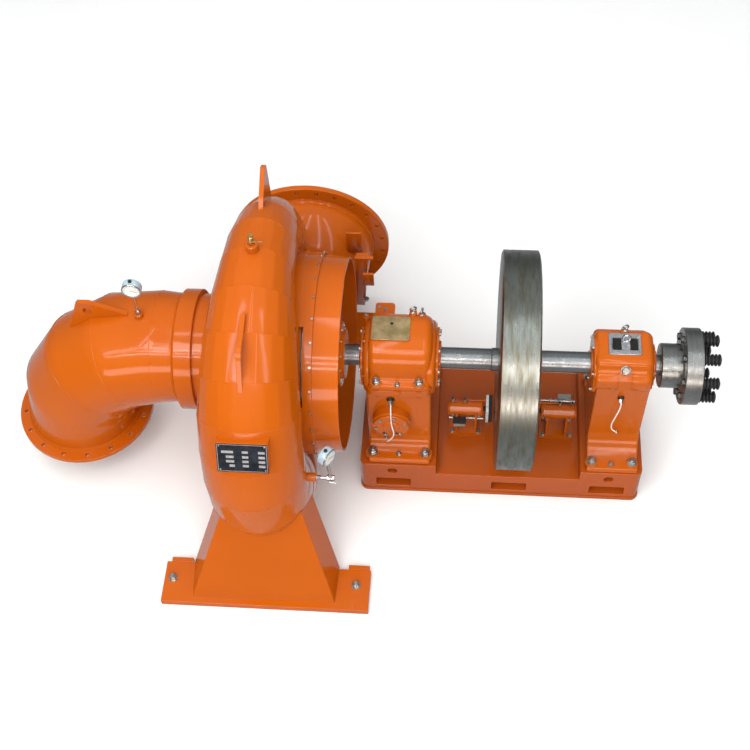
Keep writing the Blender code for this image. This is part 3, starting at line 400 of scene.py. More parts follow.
def soft_edges(made, width, crease, segments=3, harden=True):
    """Round the edges of an object that are sharper than the crease angle."""
    edge = made.modifiers.new("soft_edges", "BEVEL")
    edge.width = width
    edge.segments = segments
    edge.limit_method = "ANGLE"
    edge.angle_limit = math.radians(crease)
    edge.harden_normals = harden


def piece(name, shape, finish, stands_for=(), body="stand", soften=0.0, crease=SHARP_ANGLE, merge=True):
    """Object from a shape, riding a body and standing for the nodes named.

    soften rounds its edges by that many metres, and an edge sharper than crease degrees shades hard."""
    if merge:
        bmesh.ops.remove_doubles(shape, verts=shape.verts, dist=1e-6)
    bmesh.ops.recalc_face_normals(shape, faces=shape.faces)
    mesh = bpy.data.meshes.new(name)
    shape.to_mesh(mesh)
    shape.free()
    mesh.shade_smooth()
    mesh.set_sharp_from_angle(angle=math.radians(crease))
    made = bpy.data.objects.new(name, mesh)
    bpy.context.scene.collection.objects.link(made)
    mesh.materials.append(finish)
    if soften:
        soft_edges(made, soften, crease)
    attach(made, body)
    if stands_for:
        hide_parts(*stands_for)
    return made


def carve(target, shape):
    """Cut a shape out of a piece."""
    bmesh.ops.recalc_face_normals(shape, faces=shape.faces)
    mesh = bpy.data.meshes.new("cutter")
    shape.to_mesh(mesh)
    shape.free()
    tool = bpy.data.objects.new("cutter", mesh)
    bpy.context.scene.collection.objects.link(tool)
    step = target.modifiers.new("carve", "BOOLEAN")
    step.operation = "DIFFERENCE"
    step.solver = "EXACT"
    step.object = tool
    bpy.context.view_layer.update()
    cut = bpy.data.meshes.new_from_object(target.evaluated_get(bpy.context.evaluated_depsgraph_get()))
    target.modifiers.clear()
    old = target.data
    target.data = cut
    cut.shade_smooth()
    cut.set_sharp_from_angle(angle=math.radians(SHARP_ANGLE))
    bpy.data.meshes.remove(old)
    bpy.data.objects.remove(tool)
    bpy.data.meshes.remove(mesh)


# Spiral case

# Middle plane of the spiral, inner edge of its section, rim of the stay ring and thickness of the plate
TURBINE_X = -1.345
INNER_RADIUS = 0.475
RING_RADIUS = 0.56
WALL = 0.014
# Seams between the plates, in degrees from the back, over the top; the nose ends inside the duct
FIRST_SEAM = -60
NOSE_END = 30
LAST_SEAM = 270
SEAM_STEP = 15
# Flats round a full section
BENDS = 20
# Below this seam the bends were filled and rubbed down, so the plates look round
LAST_FLAT = 150
# The duct runs back from under the shaft, straight at first, then widening to the inlet flange
DUCT_END = 1.085
DUCT_STRAIGHT = 0.30
INLET_X = -1.251
INLET_DROP = 0.338
INLET_RADIUS = 0.385
# Half-size of the section across the spiral and along the shaft at degrees from the back, over the top
HALF_HEIGHTS = ((-60, 0.125), (42, 0.188), (90, 0.210), (150, 0.247), (205, 0.280), (240, 0.240),
                (270, 0.195))
HALF_WIDTHS = ((-60, 0.115), (42, 0.168), (90, 0.192), (120, 0.232), (150, 0.262), (205, 0.274),
               (270, 0.250))


def reading(stations, value):
    """Straight-line reading between stations."""
    for (a, va), (b, vb) in zip(stations, stations[1:]):
        if value <= b:
            return va + (vb - va) * (value - a) / (b - a)
    return stations[-1][1]


def on_spiral(angle, phi, lift=0.0):
    """Point of the spiral's skin at an angle round the shaft and an angle round its section."""
    out = outward(angle)
    high, wide = reading(HALF_HEIGHTS, angle), reading(HALF_WIDTHS, angle)
    middle = round_shaft(TURBINE_X, angle, INNER_RADIUS + high)
    roll = math.radians(phi)
    return middle + out * ((high + lift) * math.cos(roll)) + ALONG * ((wide + lift) * math.sin(roll))


def mouth(angle):
    """Angle round the section at which the skin meets the stay ring."""
    high = reading(HALF_HEIGHTS, angle)
    return math.degrees(math.acos((RING_RADIUS - INNER_RADIUS - high) / high))


def bend_angles(limit, shift, bends=BENDS):
    """Angles at both sides of each narrow bend between flats, from one edge of the plate to the other."""
    pitch = 360 / bends
    half_bend = 0.12 * pitch
    angles = [-limit]
    step = -math.floor(limit / pitch) - 1
    while (step + shift) * pitch < limit:
        bend = (step + shift) * pitch
        angles += [a for a in (bend - half_bend, bend + half_bend) if -limit + 1 < a < limit - 1]
        step += 1
    return angles + [limit]


def spiral_plates():
    """Bent plates of the spiral, one for each stretch between two seams."""
    shape = bmesh.new()
    for number, start in enumerate(range(FIRST_SEAM, LAST_SEAM, SEAM_STEP)):
        end = start + SEAM_STEP
        limit = min(mouth(start), mouth(end))
        angles = bend_angles(limit, 0.5 * (number % 2), BENDS if start < LAST_FLAT else 3 * BENDS)
        lift = -0.002 if start < NOSE_END else 0.0
        skin(shape, [[on_spiral(seam, phi, lift) for phi in angles] for seam in (start, end)], False, False)
    return shape


def duct_point(y, phi, lift=0.0):
    """Point of the inlet duct's skin: oval under the shaft, round at the inlet flange."""
    rise = max(0.0, (y - DUCT_STRAIGHT) / (DUCT_END - DUCT_STRAIGHT))
    smooth = rise * rise * (3.0 - 2.0 * rise)
    start_high, start_wide = HALF_HEIGHTS[-1][1], HALF_WIDTHS[-1][1]
    start_drop = INNER_RADIUS + start_high
    high = start_high + (INLET_RADIUS - start_high) * smooth + lift
    wide = start_wide + (INLET_RADIUS - start_wide) * smooth + lift
    drop = start_drop + (INLET_DROP - start_drop) * smooth
    x = TURBINE_X + (INLET_X - TURBINE_X) * smooth
    roll = math.radians(phi)
    return Vector((x + wide * math.sin(roll), y, SHAFT_HEIGHT - drop - high * math.cos(roll)))


def duct_plates(shape):
    """Smooth skin of the inlet duct, from under the shaft to the flange."""
    rows = [DUCT_END * k / 22 for k in range(23)]
    skin(shape, [[duct_point(y, 5 * k) for k in range(72)] for y in rows], caps=False)


def seam_beads(shape):
    """Ground weld beads, a little proud of the plates."""
    radius, lift = 0.0030, -0.0023
    for seam in range(FIRST_SEAM + SEAM_STEP, LAST_SEAM + 1, SEAM_STEP):
        limit = mouth(seam)
        rope(shape, [on_spiral(seam, limit * (k / 24 - 1), lift) for k in range(49)], radius, 6)
    for side in (-1, 1):
        line = [on_spiral(a, side * (mouth(a) - 1.0), 0.0) for a in range(FIRST_SEAM + 5, LAST_SEAM - 4, 5)]
        rope(shape, line, 0.009, 6)
    line = [duct_point(DUCT_END - 0.004, 360 * k / 64, 0.002) for k in range(64)]
    rope(shape, line, 0.008, 6, closed=True)


def lifting_plates(shape):
    """Plates on top and in front, whose outlines are (height above the skin, place along it)."""
    top = ((-0.03, -0.15), (0.0, -0.15), (0.175, -0.030), (0.185, -0.020), (0.185, 0.020), (0.175, 0.030),
           (0.0, 0.13), (-0.03, 0.13))
    front = ((-0.03, -0.20), (0.0, -0.205), (0.018, -0.12), (0.060, -0.045), (0.072, -0.02), (0.072, 0.01),
             (0.060, 0.035), (0.016, 0.14), (0.0, 0.20), (-0.03, 0.20))
    for angle, outline, x in ((59, top, TURBINE_X - 0.008), (127, front, TURBINE_X)):
        out = outward(angle)
        along = outward(angle + 90)
        base = round_shaft(x, angle, INNER_RADIUS + 2 * reading(HALF_HEIGHTS, angle))
        skin(shape, [[base + ALONG * side + out * (r - s * s / 2) + along * s for r, s in outline]
                     for side in (-0.013, 0.013)])


def scroll_case():
    """Spiral case with its duct, weld seams, lifting plates and bosses."""
    shape = spiral_plates()
    duct_plates(shape)
    plates = piece("spiral_plates", shape, plate_enamel, ("scroll_case",), merge=False)
    shell = plates.modifiers.new("plate_thickness", "SOLIDIFY")
    shell.thickness = WALL
    shell.offset = -1.0
    flats = plates.modifiers.new("keep_flats_flat", "WEIGHTED_NORMAL")
    flats.keep_sharp = True
    shape = bmesh.new()
    seam_beads(shape)
    piece("spiral_weld_seams", shape, plate_enamel, merge=False, crease=60)
    shape = bmesh.new()
    lifting_plates(shape)
    piece("spiral_lifting_plates", shape, plate_enamel, soften=0.003)
    shape = bmesh.new()
    knob(shape, [(0, 0.034), (0.041, 0.034), (0.045, 0.030)], (-1.34, -0.016, 1.770), UP, 32)
    knob(shape, [(0, 0.024), (0.042, 0.024), (0.045, 0.021)], (-1.075, -0.72, 0.765), ALONG, 32)
    piece("spiral_bosses", shape, cast_enamel)


def flange(name, stands_for, centre, along, bore, radius, thick, circle, count, hole):
    """Flat welding flange and the fillet of the weld at its pipe; hole is the radius of a bolt hole."""
    shape = bmesh.new()
    ease, neck = 0.002, 0.02
    lathe(shape, [(0, bore), (0, radius - ease), (ease, radius), (thick - ease, radius),
                  (thick, radius - ease), (thick, bore)], centre, along, 128)
    made = piece(name, shape, plate_enamel, (stands_for,))
    holes = bmesh.new()
    matrix = frame_of(centre, along)
    for k in range(count):
        turn = math.tau * (k + 0.5) / count
        place = matrix @ Vector((-0.01, circle * math.cos(turn), circle * math.sin(turn)))
        lathe(holes, [(0, 0), (0, hole), (thick + 0.02, hole), (thick + 0.02, 0)], place, along, 20)
    carve(made, holes)
    shape = bmesh.new()
    lathe(shape, [(-neck, bore + 0.008), (-neck, bore + 0.013), (0.0005, bore + 0.024),
                  (0.0005, bore + 0.008)], centre, along, 128)
    piece(name + "_weld", shape, plate_enamel)


def stay_rings():
    """Machined side rings of the spiral's mouth, with the stay vanes between them."""
    shape = bmesh.new()
    ease = 0.003
    for near, far in ((-0.21, -0.10), (0.10, 0.21)):
        low, high = TURBINE_X + near, TURBINE_X + far
        lathe(shape, [(low, 0.42), (low, 0.56 - ease), (low + ease, 0.56), (high - ease, 0.56),
                      (high, 0.56 - ease), (high, 0.42)], segments=128)
    vane = ((0.445, -0.030), (0.455, -0.034), (0.535, 0.030), (0.525, 0.034))
    for k in range(10):
        along = outward(36 * k + 90)
        skin(shape, [[round_shaft(TURBINE_X + x, 36 * k, r) + along * s for r, s in vane]
                     for x in (-0.11, 0.11)])
    piece("stay_ring_turned", shape, cast_enamel, ("stay_ring",))


# Draft elbow

# Middle of the downward pipe, radius of the bend along its middle, and height of the level pipe
ELBOW_X = -2.521
ELBOW_BEND = 0.57
ELBOW_AXIS = 0.893
ELBOW_START = -1.8203
ELBOW_TOP_RADIUS = 0.30
BEND_RADIUS = 0.326
PIPE_RADIUS = 0.33
ELBOW_WALL = 0.012
DRAFT_TOP = 0.28


def elbow_stations():
    """Places, leans and radii of the elbow's mitre joints."""
    bend_x, bend_z = ELBOW_X + ELBOW_BEND, ELBOW_AXIS - ELBOW_BEND
    stations = [(Vector((ELBOW_START, 0, ELBOW_AXIS)), 0.0, ELBOW_TOP_RADIUS),
                (Vector((bend_x, 0, ELBOW_AXIS)), 0.0, (ELBOW_TOP_RADIUS + BEND_RADIUS) / 2)]
    for k in range(1, 5):
        lean = 22.5 * k
        turn = math.radians(90 + lean)
        place = Vector((bend_x + ELBOW_BEND * math.cos(turn), 0, bend_z + ELBOW_BEND * math.sin(turn)))
        stations.append((place, lean, BEND_RADIUS + (PIPE_RADIUS - BEND_RADIUS) * k / 4))
    return stations + [(Vector((ELBOW_X, 0, DRAFT_TOP)), 90.0, PIPE_RADIUS)]


def elbow_ring(station, grow):
    """Ring of points where two segments of the elbow meet."""
    place, lean, radius = station
    up = Vector((-math.sin(math.radians(lean)), 0, math.cos(math.radians(lean))))
    turns = [math.tau * k / 72 for k in range(72)]
    return [place + (up * math.cos(t) + BACK * math.sin(t)) * (radius + grow) for t in turns]


def draft_elbow():
    """Mitred elbow with its seams, lifting plate, gauge boss and the collar at the spiral."""
    stations = elbow_stations()
    shape = bmesh.new()
    rows = [elbow_ring(station, 0.0) for station in stations]
    rings = rows[:1]
    for here, there in zip(rows, rows[1:]):
        rings += [[p.lerp(q, share) for p, q in zip(here, there)] for share in (0.2, 0.8, 1.0)]
    skin(shape, rings, caps=False)
    pipe = piece("elbow_segments", shape, plate_enamel, ("draft_elbow",))
    shell = pipe.modifiers.new("plate_thickness", "SOLIDIFY")
    shell.thickness = ELBOW_WALL
    shell.offset = -1.0
    shape = bmesh.new()
    for station in stations[1:4]:
        rope(shape, elbow_ring(station, -0.0026), 0.0040, 6, closed=True)
    rope(shape, elbow_ring(stations[0], 0.001), 0.008, 6, closed=True)
    piece("elbow_weld_seams", shape, plate_enamel, merge=False, crease=60)
    shape = bmesh.new()
    push(shape, [(-2.44, 1.045), (-2.36, 1.265), (-2.345, 1.28), (-2.285, 1.28), (-2.27, 1.272),
                 (-2.09, 1.19)], -0.013, 0.013, "Y")
    lug = piece("elbow_lifting_plate", shape, plate_enamel)
    hole = bmesh.new()
    knob(hole, [(-0.05, 0.022), (0.05, 0.022)], (-2.306, 0, 1.215), BACK, 32)
    carve(lug, hole)
    shape = bmesh.new()
    knob(shape, [(0, 0.024), (0.047, 0.024), (0.05, 0.021)], (-2.022, -0.022, 1.172), UP, 32)
    piece("elbow_gauge_boss", shape, cast_enamel)
    shape = bmesh.new()
    lathe(shape, [(-1.5553, 0.30), (-1.5553, 0.497), (-1.5583, 0.50), (-1.577, 0.50), (-1.58, 0.497),
                  (-1.62, 0.325), (-1.628, 0.31), (-1.725, 0.31), (-1.725, 0.332), (-1.728, 0.335),
                  (-1.817, 0.335), (-1.82, 0.332), (-1.82, 0.296), (-1.62, 0.29)], segments=128)
    piece("draft_collar_turned", shape, cast_enamel, ("draft_collar",))


# Casing between the spiral and the drum

def round_casing():
    """Casing band with its window slots, the open drum, the shaft seal housing and their screws."""
    band_left = -1.1347
    shape = bmesh.new()
    lathe(shape, [(band_left, 0.53), (band_left, 0.556), (-1.0525, 0.556), (-1.0500, 0.5535),
                  (-1.0500, 0.53)], segments=144)
    band = piece("guide_casing", shape, plate_enamel, ("guide_band",))
    slots = bmesh.new()
    spread = 22.3
    for middle in (14, 134, 254):
        turns = [middle - spread + 2 * spread * k / 16 for k in range(17)]
        outline = [(0.47, t) for t in turns] + [(0.60, t) for t in reversed(turns)]
        skin(slots, [[round_shaft(x, t, r) for r, t in outline]
                     for x in (band_left + 0.010, band_left + 0.036)])
    carve(band, slots)
    shape = bmesh.new()
    back = -1.018
    lathe(shape, [(-1.03, 0.1803), (-1.03, 0.529), (-1.0498, 0.529), (-1.0498, 0.543), (-1.0460, 0.5425),
                  (-0.917, 0.536), (-0.915, 0.534), (-0.915, 0.524), (-0.917, 0.522), (back + 0.006, 0.522),
                  (back, 0.516), (back, 0.1803)], segments=144)
    piece("drum_turned", shape, plate_enamel, ("drum_ring",))
    shape = bmesh.new()
    lathe(shape, [(-1.20, 0.0593), (-1.20, 0.18), (-0.948, 0.18), (-0.945, 0.177), (-0.945, 0.138),
                  (-0.942, 0.135), (-0.928, 0.135), (-0.925, 0.132), (-0.925, 0.0593)])
    piece("seal_housing_turned", shape, cast_enamel, ("seal_housing",))
    shape = bmesh.new()
    for k in range(12):
        cap_screw(shape, round_shaft(-0.945, 30 * k + 10, 0.158), ALONG, 0.006)
    for k in range(8):
        hex_bolt(shape, round_shaft(back, 45 * k + 20, 0.215), ALONG, 0.014)
    for k in range(28):
        turn = 360 * (k + 0.35) / 28
        cap_screw(shape, round_shaft(-1.0590, turn, 0.5555), outward(turn), 0.009)
    piece("casing_screws", shape, zinc)


# Shaft line

def shaft_line():
    """Shaft, flywheel and coupling half with its pins, nuts and rubber sleeves."""
    shape = bmesh.new()
    ease = 0.0015
    knob(shape, [(-1.40, 0.045), (-1.22, 0.045), (-1.22, 0.059), (-0.130, 0.059), (-0.127, 0.064 - ease),
                 (-0.127 + ease, 0.064), (0.140 - ease, 0.064), (0.140, 0.064 - ease), (0.143, 0.059),
                 (0.713, 0.059), (0.715, 0.056), (0.981, 0.056), (0.983, 0.054)])
    piece("shaft_turned", shape, shaft_steel, ("shaft",), "rotor")
    shape = bmesh.new()
    left, right, rim, ease = FLYWHEEL_LEFT, FLYWHEEL_RIGHT, 0.60, 0.008
    lathe(shape, [(left, 0.0645), (left, 0.594 - ease), (left + ease, rim), (right - ease, rim),
                  (right, 0.594 - ease), (right, 0.0645)], segments=256)
    piece("flywheel_turned", shape, flywheel_steel, ("flywheel",), "rotor")
    shape = bmesh.new()
    lathe(shape, [(0.775, 0.0563), (0.775, 0.115), (0.781, 0.121), (0.886, 0.121), (0.892, 0.127),
                  (0.892, 0.206), (0.895, 0.209), (0.980, 0.209), (0.983, 0.206), (0.983, 0.0563)],
          segments=128)
    half = piece("coupling_half_turned", shape, coupling_steel, ("coupling_half",), "rotor")
    holes = bmesh.new()
    nuts, sleeves = bmesh.new(), bmesh.new()
    for k in range(8):
        place = round_shaft(0, 45 * (k + 0.5), 0.165)
        knob(holes, [(0.85, 0.0145), (1.0, 0.0145)], place, ALONG, 24)
        hex_bolt(nuts, place + ALONG * 0.892, -ALONG, 0.0215)
        knob(nuts, [(0.88, 0.014), (1.075, 0.014), (1.077, 0.012)], place, ALONG, 24)
        profile = [(0.9833, 0.0142)]
        for groove in range(5):
            x = 0.9833 + 0.0184 * groove
            profile += [(x, 0.0225), (x + 0.0040, 0.031), (x + 0.0060, 0.0325), (x + 0.0110, 0.0325),
                        (x + 0.0130, 0.031), (x + 0.0170, 0.0225)]
        lathe(sleeves, profile + [(1.0739, 0.0142)], place, ALONG, 32)
    carve(half, holes)
    piece("coupling_pin_nuts", nuts, dark_nut_steel, tuple(f"coupling_pin_{k + 1}" for k in range(8)), "rotor")
    piece("coupling_pin_sleeves", sleeves, rubber, (), "rotor")


# Base and bearing housings

# Where the bearing feet stand, just above the base
DECK = 0.2803
# Middle of the round oil cover on the front of the main pedestal
OIL_COVER_X, OIL_COVER_Z = -0.670, 0.575
# Corners of the base's bottom lip, seen from above
BASE_LOW, BASE_HIGH = (-0.86, -0.35), (0.76, 0.41)


def base():
    """Base frame with its recess, pockets and round holes, on a thin lip."""
    shape = bmesh.new()
    lip = 0.006
    outline = round_corners([v + lip for v in BASE_LOW], [v - lip for v in BASE_HIGH], 0.04)
    push(shape, outline, 0.020, 0.28, "Z")
    made = piece("base_body", shape, base_enamel_dust_and_shade, ("base_frame",))
    cuts = bmesh.new()
    slab(cuts, (-0.415, -0.5, 0.20), (0.404, 0.55, 0.40))
    for low, high in ((-0.45, -0.28), (0.34, 0.55)):
        for middle in (-0.664, 0.007, 0.570):
            outline = round_corners((middle - 0.099, 0.05), (middle + 0.099, 0.13), 0.012)
            push(cuts, outline, low, high, "Y")
        for middle in (-0.669, 0.569):
            knob(cuts, [(low, 0.026), (high, 0.026)], (middle, 0, 0.215), BACK, 32)
    carve(made, cuts)
    soft_edges(made, 0.006, 40)
    shape = bmesh.new()
    push(shape, round_corners(BASE_LOW, BASE_HIGH, 0.045), 0.0, 0.024, "Z")
    piece("base_bottom_lip", shape, base_enamel_dust_and_shade, soften=0.003)


def foot_profile(half_depth, flange_depth, flange_drop, top):
    """Half outline of a bearing pedestal seen along the shaft, from its foot up."""
    foot_top, foot_depth = DECK + 0.04, 0.335
    flare = foot_depth - 0.03 - half_depth
    front = [(foot_depth, DECK), (foot_depth, foot_top)]
    front += arc((half_depth + flare, foot_top + flare), flare, 270, 180, 12)
    front += [(half_depth, SHAFT_HEIGHT - flange_drop), (flange_depth, SHAFT_HEIGHT - flange_drop + 0.02)]
    return front + [(flange_depth, top)]


def mirrored(front):
    """Closed outline from its front half, from the bottom up."""
    return [(-y, z) for y, z in front] + [(y, z) for y, z in reversed(front)]


def main_bearing():
    """Pedestal, split flange, oil boss, cap and end covers of the main bearing."""
    shape = bmesh.new()
    push(shape, mirrored(foot_profile(0.206, 0.206, 0.07, SHAFT_HEIGHT - 0.004)), -0.806, -0.450)
    piece("main_pedestal", shape, cast_enamel, ("main_bearing_base",), soften=0.018, crease=25)
    shape = bmesh.new()
    push(shape, round_corners((-0.806, -0.235), (-0.447, 0.235), 0.050), 0.826, SHAFT_HEIGHT - SEAT_GAP, "Z")
    piece("main_split_flange", shape, cast_enamel, soften=0.008)
    shape = bmesh.new()
    knob(shape, [(0, 0.108), (0.094, 0.108), (0.102, 0.100)], (OIL_COVER_X, -0.156, OIL_COVER_Z), -BACK)
    piece("main_oil_boss", shape, cast_enamel)
    shape = bmesh.new()
    top, shoulder = 1.13, 0.945
    front = [(0.228, SHAFT_HEIGHT + SEAT_GAP), (0.235, SHAFT_HEIGHT + 0.008), (0.235, SHAFT_HEIGHT + 0.030),
             (0.231, SHAFT_HEIGHT + 0.039)]
    front += arc((0.229, SHAFT_HEIGHT + 0.081), 0.040, 270, 184, 8)
    front += [(0.028 + 0.160 * math.cos(t), shoulder + (top - shoulder) * math.sin(t))
              for t in (math.radians(4.5 * k) for k in range(2, 21))]
    casting(shape, mirrored(front), -0.79, -0.445, 0.034, 0.055)
    piece("main_cap", shape, cast_enamel, ("main_bearing_cap",), crease=50)
    for name, face, side in (("left", -0.7903, -1), ("right", -0.4697, 1)):
        shape = bmesh.new()
        depth = 0.0447 if side < 0 else 0.0547
        belly = [(depth - 0.012 - 0.030 * (1 - math.cos(t)), 0.172 + 0.033 * math.sin(t))
                 for t in (math.radians(7.5 * k) for k in range(13))]
        lip = [(depth - 0.012, 0.168), (depth - 0.002, 0.168), (depth, 0.166), (depth, COVER_BORE)]
        lathe(shape, [(-0.004, COVER_BORE), (-0.004, 0.205)] + belly[::-1] + lip, round_shaft(face),
              ALONG * side, 128)
        piece("main_cover_" + name, shape, cast_enamel, ("main_bearing_cover_" + name,))


def outboard_bearing():
    """Pedestal, cap and end covers of the outboard bearing."""
    shape = bmesh.new()
    push(shape, mirrored(foot_profile(0.165, 0.17, 0.03, SHAFT_HEIGHT - SEAT_GAP)), 0.437, 0.722)
    piece("outboard_stand", shape, cast_enamel, ("outboard_pedestal",), soften=0.014, crease=25)
    shape = bmesh.new()
    front = [(0.171, 0.88), (0.175, 0.885), (0.175, 0.950), (0.171, 0.960), (0.160, 0.965), (0.146, 0.969),
             (0.137, 0.980), (0.122, 1.002)]
    front += arc((0.080, 1.005), 0.040, 15, 90, 8)
    casting(shape, mirrored(front), 0.420, 0.732, 0.030, 0.045)
    push(shape, [(-0.110, 1.010), (-0.181, 0.972), (-0.181, 0.890), (-0.150, 0.890)], 0.545, 0.612)
    piece("outboard_cap_cast", shape, cast_enamel, ("outboard_cap",), crease=50)
    for name, left, right in (("left", 0.415, 0.4367), ("right", 0.7223, 0.742)):
        shape = bmesh.new()
        rim = 0.16 if name == "left" else 0.12
        lathe(shape, [(left, COVER_BORE), (left, rim - 0.004), (left + 0.004, rim), (right - 0.004, rim),
                      (right, rim - 0.004), (right, COVER_BORE)], segments=128)
        piece("outboard_end_" + name, shape, cast_enamel, ("outboard_cover_" + name,))


# Fittings

LEAD_DIAMETER = 0.007


def round_bar(into, start, end, radius, segments=24):
    """Round bar between two points, its ends softened."""
    start, end = Vector(start), Vector(end)
    length, ease = (end - start).length, 0.12 * radius
    profile = [(0, radius - ease), (ease, radius), (length - ease, radius), (length, radius - ease)]
    knob(into, profile, start, end - start, segments)


def tilted_slab(into, centre, across, up, size, sink=0.0):
    """Turned plate: half sizes along across and up, from sink below its centre to size[2] above."""
    across, up = Vector(across).normalized(), Vector(up).normalized()
    normal = across.cross(up)
    corners = ((-1, -1), (1, -1), (1, 1), (-1, 1))
    skin(into, [[centre + across * (a * size[0]) + up * (b * size[1]) + normal * lift for a, b in corners]
                for lift in (-sink, size[2])])


def sensor_lead(name, route):
    """White lead of a temperature sensor, hanging from the sensor and going back into the housing."""
    points = curve_through(route, 5)
    shape = bmesh.new()
    rope(shape, points, LEAD_DIAMETER / 2, 12)
    lead = piece(name, shape, white_lead)


def main_bearing_fittings():
    """Lid, bolts, bosses, eyes, plugs, sensor and rear shelf of the main bearing."""
    shape = bmesh.new()
    push(shape, round_corners((-0.775, -0.078), (-0.570, 0.078), 0.012), 1.1303, 1.136, "Z")
    piece("inspection_lid", shape, brass, ("inspection_plate",), soften=0.001)
    screws, enamelled, dark = bmesh.new(), bmesh.new(), bmesh.new()
    for x in (-0.763, -0.672, -0.582):
        for y in (-0.066, 0.066):
            cap_screw(screws, (x, y, 1.133), UP, 0.006)
    knob(dark, [(0, 0.009), (0.0015, 0.009)], (-0.669, 0.030, 1.1355), UP, 20)
    for x in (-0.745, -0.515):
        for y in (-0.205, 0.205):
            knob(enamelled, [(0, 0.035), (0.016, 0.033)], (x, y * 1.02, 0.913), UP, 32)
            knob(enamelled, [(0, 0.034), (0.010, 0.034), (0.095, 0.008)], (x, y, 0.880), -UP, 32)
            hex_bolt(screws, (x, y * 1.02, 0.929), UP, 0.025, stud=0.014)
    for y in (-0.222, 0.222):
        knob(enamelled, [(0, 0.024), (0.010, 0.024), (0.060, 0.006)], (-0.631, y, 0.880), -UP, 32)
        hex_bolt(screws, (-0.631, y, 0.921), UP, 0.015, stud=0.012)
    for x, y, turn in ((-0.560, 0.132, 20), (-0.512, 0.120, 75)):
        knob(enamelled, [(0, 0.024), (0.035, 0.022), (0.038, 0.019)], (x, y, 1.07), UP, 28)
        eye_bolt(screws, (x, y, 1.107), 0.016, turn)
    for x, side in ((-0.415, 1), (-0.835, -1)):
        for k in range(8):
            hex_bolt(screws, round_shaft(x, 45 * k + 22.5, 0.150), ALONG * side, 0.012)
        lathe(enamelled, [(0, 0.061), (0, 0.094), (0.010, 0.092), (0.012, 0.088), (0.012, 0.061)],
              round_shaft(x), ALONG * side, 64)
    for turn in (90, 105, 158):
        cap_screw(screws, round_shaft(-0.815, turn, 0.2045), outward(turn), 0.007)
    round_bar(enamelled, (-0.815, 0.108, 1.03), (-0.815, 0.118, 1.078), 0.016)
    round_bar(screws, (-0.815, 0.118, 1.075), (-0.815, 0.120, 1.088), 0.010)
    for k in range(6):
        ray = ALONG * math.cos(k + 0.35) + UP * math.sin(k + 0.35)
        place = Vector((OIL_COVER_X, -0.2695, OIL_COVER_Z)) + ray * 0.085
        hex_bolt(screws, place, -BACK, 0.012, washer=False)
    knob(enamelled, [(0, 0.1005), (0.0075, 0.101), (0.0117, 0.098), (0.0117, 0.050), (0.016, 0.046),
                     (0.018, 0.042)], (OIL_COVER_X, -0.2583, OIL_COVER_Z), -BACK, 72)
    for x in (-0.712, -0.640):
        knob(dark, [(0, 0.010), (0.002, 0.009)], (x, -0.2690, 0.510), -BACK, 20)
    knob(dark, [(0, 0.011), (0.003, 0.009)], (-0.704, -0.2235, 0.395), -BACK, 20)
    round_bar(dark, (-0.672, -0.200, 0.762), (-0.671, -0.216, 0.754), 0.022)
    round_bar(screws, (-0.671, -0.212, 0.757), (-0.670, -0.230, 0.744), 0.015, 6)
    round_bar(screws, (-0.670, -0.226, 0.746), (-0.670, -0.238, 0.738), 0.008)
    path = [(-0.670, -0.235, 0.740), (-0.669, -0.256, 0.715), (-0.668, -0.276, 0.668),
            (-0.664, -0.288, 0.615), (-0.655, -0.292, 0.555), (-0.660, -0.290, 0.505),
            (-0.682, -0.284, 0.455), (-0.700, -0.262, 0.415), (-0.704, -0.215, 0.394)]
    sensor_lead("temperature_sensor_lead", path)
    for y in (-0.279, 0.279):
        for x in (-0.780, -0.482):
            knob(enamelled, [(0, 0.044), (0.038, 0.044), (0.046, 0.040), (0.046, 0.034), (0.041, 0.033)],
                 (x, y, DECK), UP, 36)
            hex_bolt(screws, (x, y, 0.3213), UP, 0.029, stud=0.016)
        hex_bolt(screws, (-0.631, y * 1.04, 0.321), UP, 0.016, stud=0.012)
    piece("main_bearing_bolts", screws, zinc)
    piece("main_bearing_bosses", enamelled, cast_enamel, ("oil_cover",), soften=0.0015)
    piece("bearing_dark_plugs", dark, rubber)
    shape = bmesh.new()
    push(shape, round_corners((-0.785, 0.2355), (-0.675, 0.353), 0.018), 0.886, 0.900, "Z")
    slab(shape, (-0.785, 0.2355, 0.860), (-0.771, 0.345, 0.888))
    piece("rear_shelf", shape, cast_enamel, ("rear_bracket",), soften=0.002)
    shape = bmesh.new()
    for x, y in ((-0.763, 0.320), (-0.728, 0.305)):
        hex_bolt(shape, (x, y, 0.8995), UP, 0.010)
    piece("rear_shelf_bolts", shape, zinc)


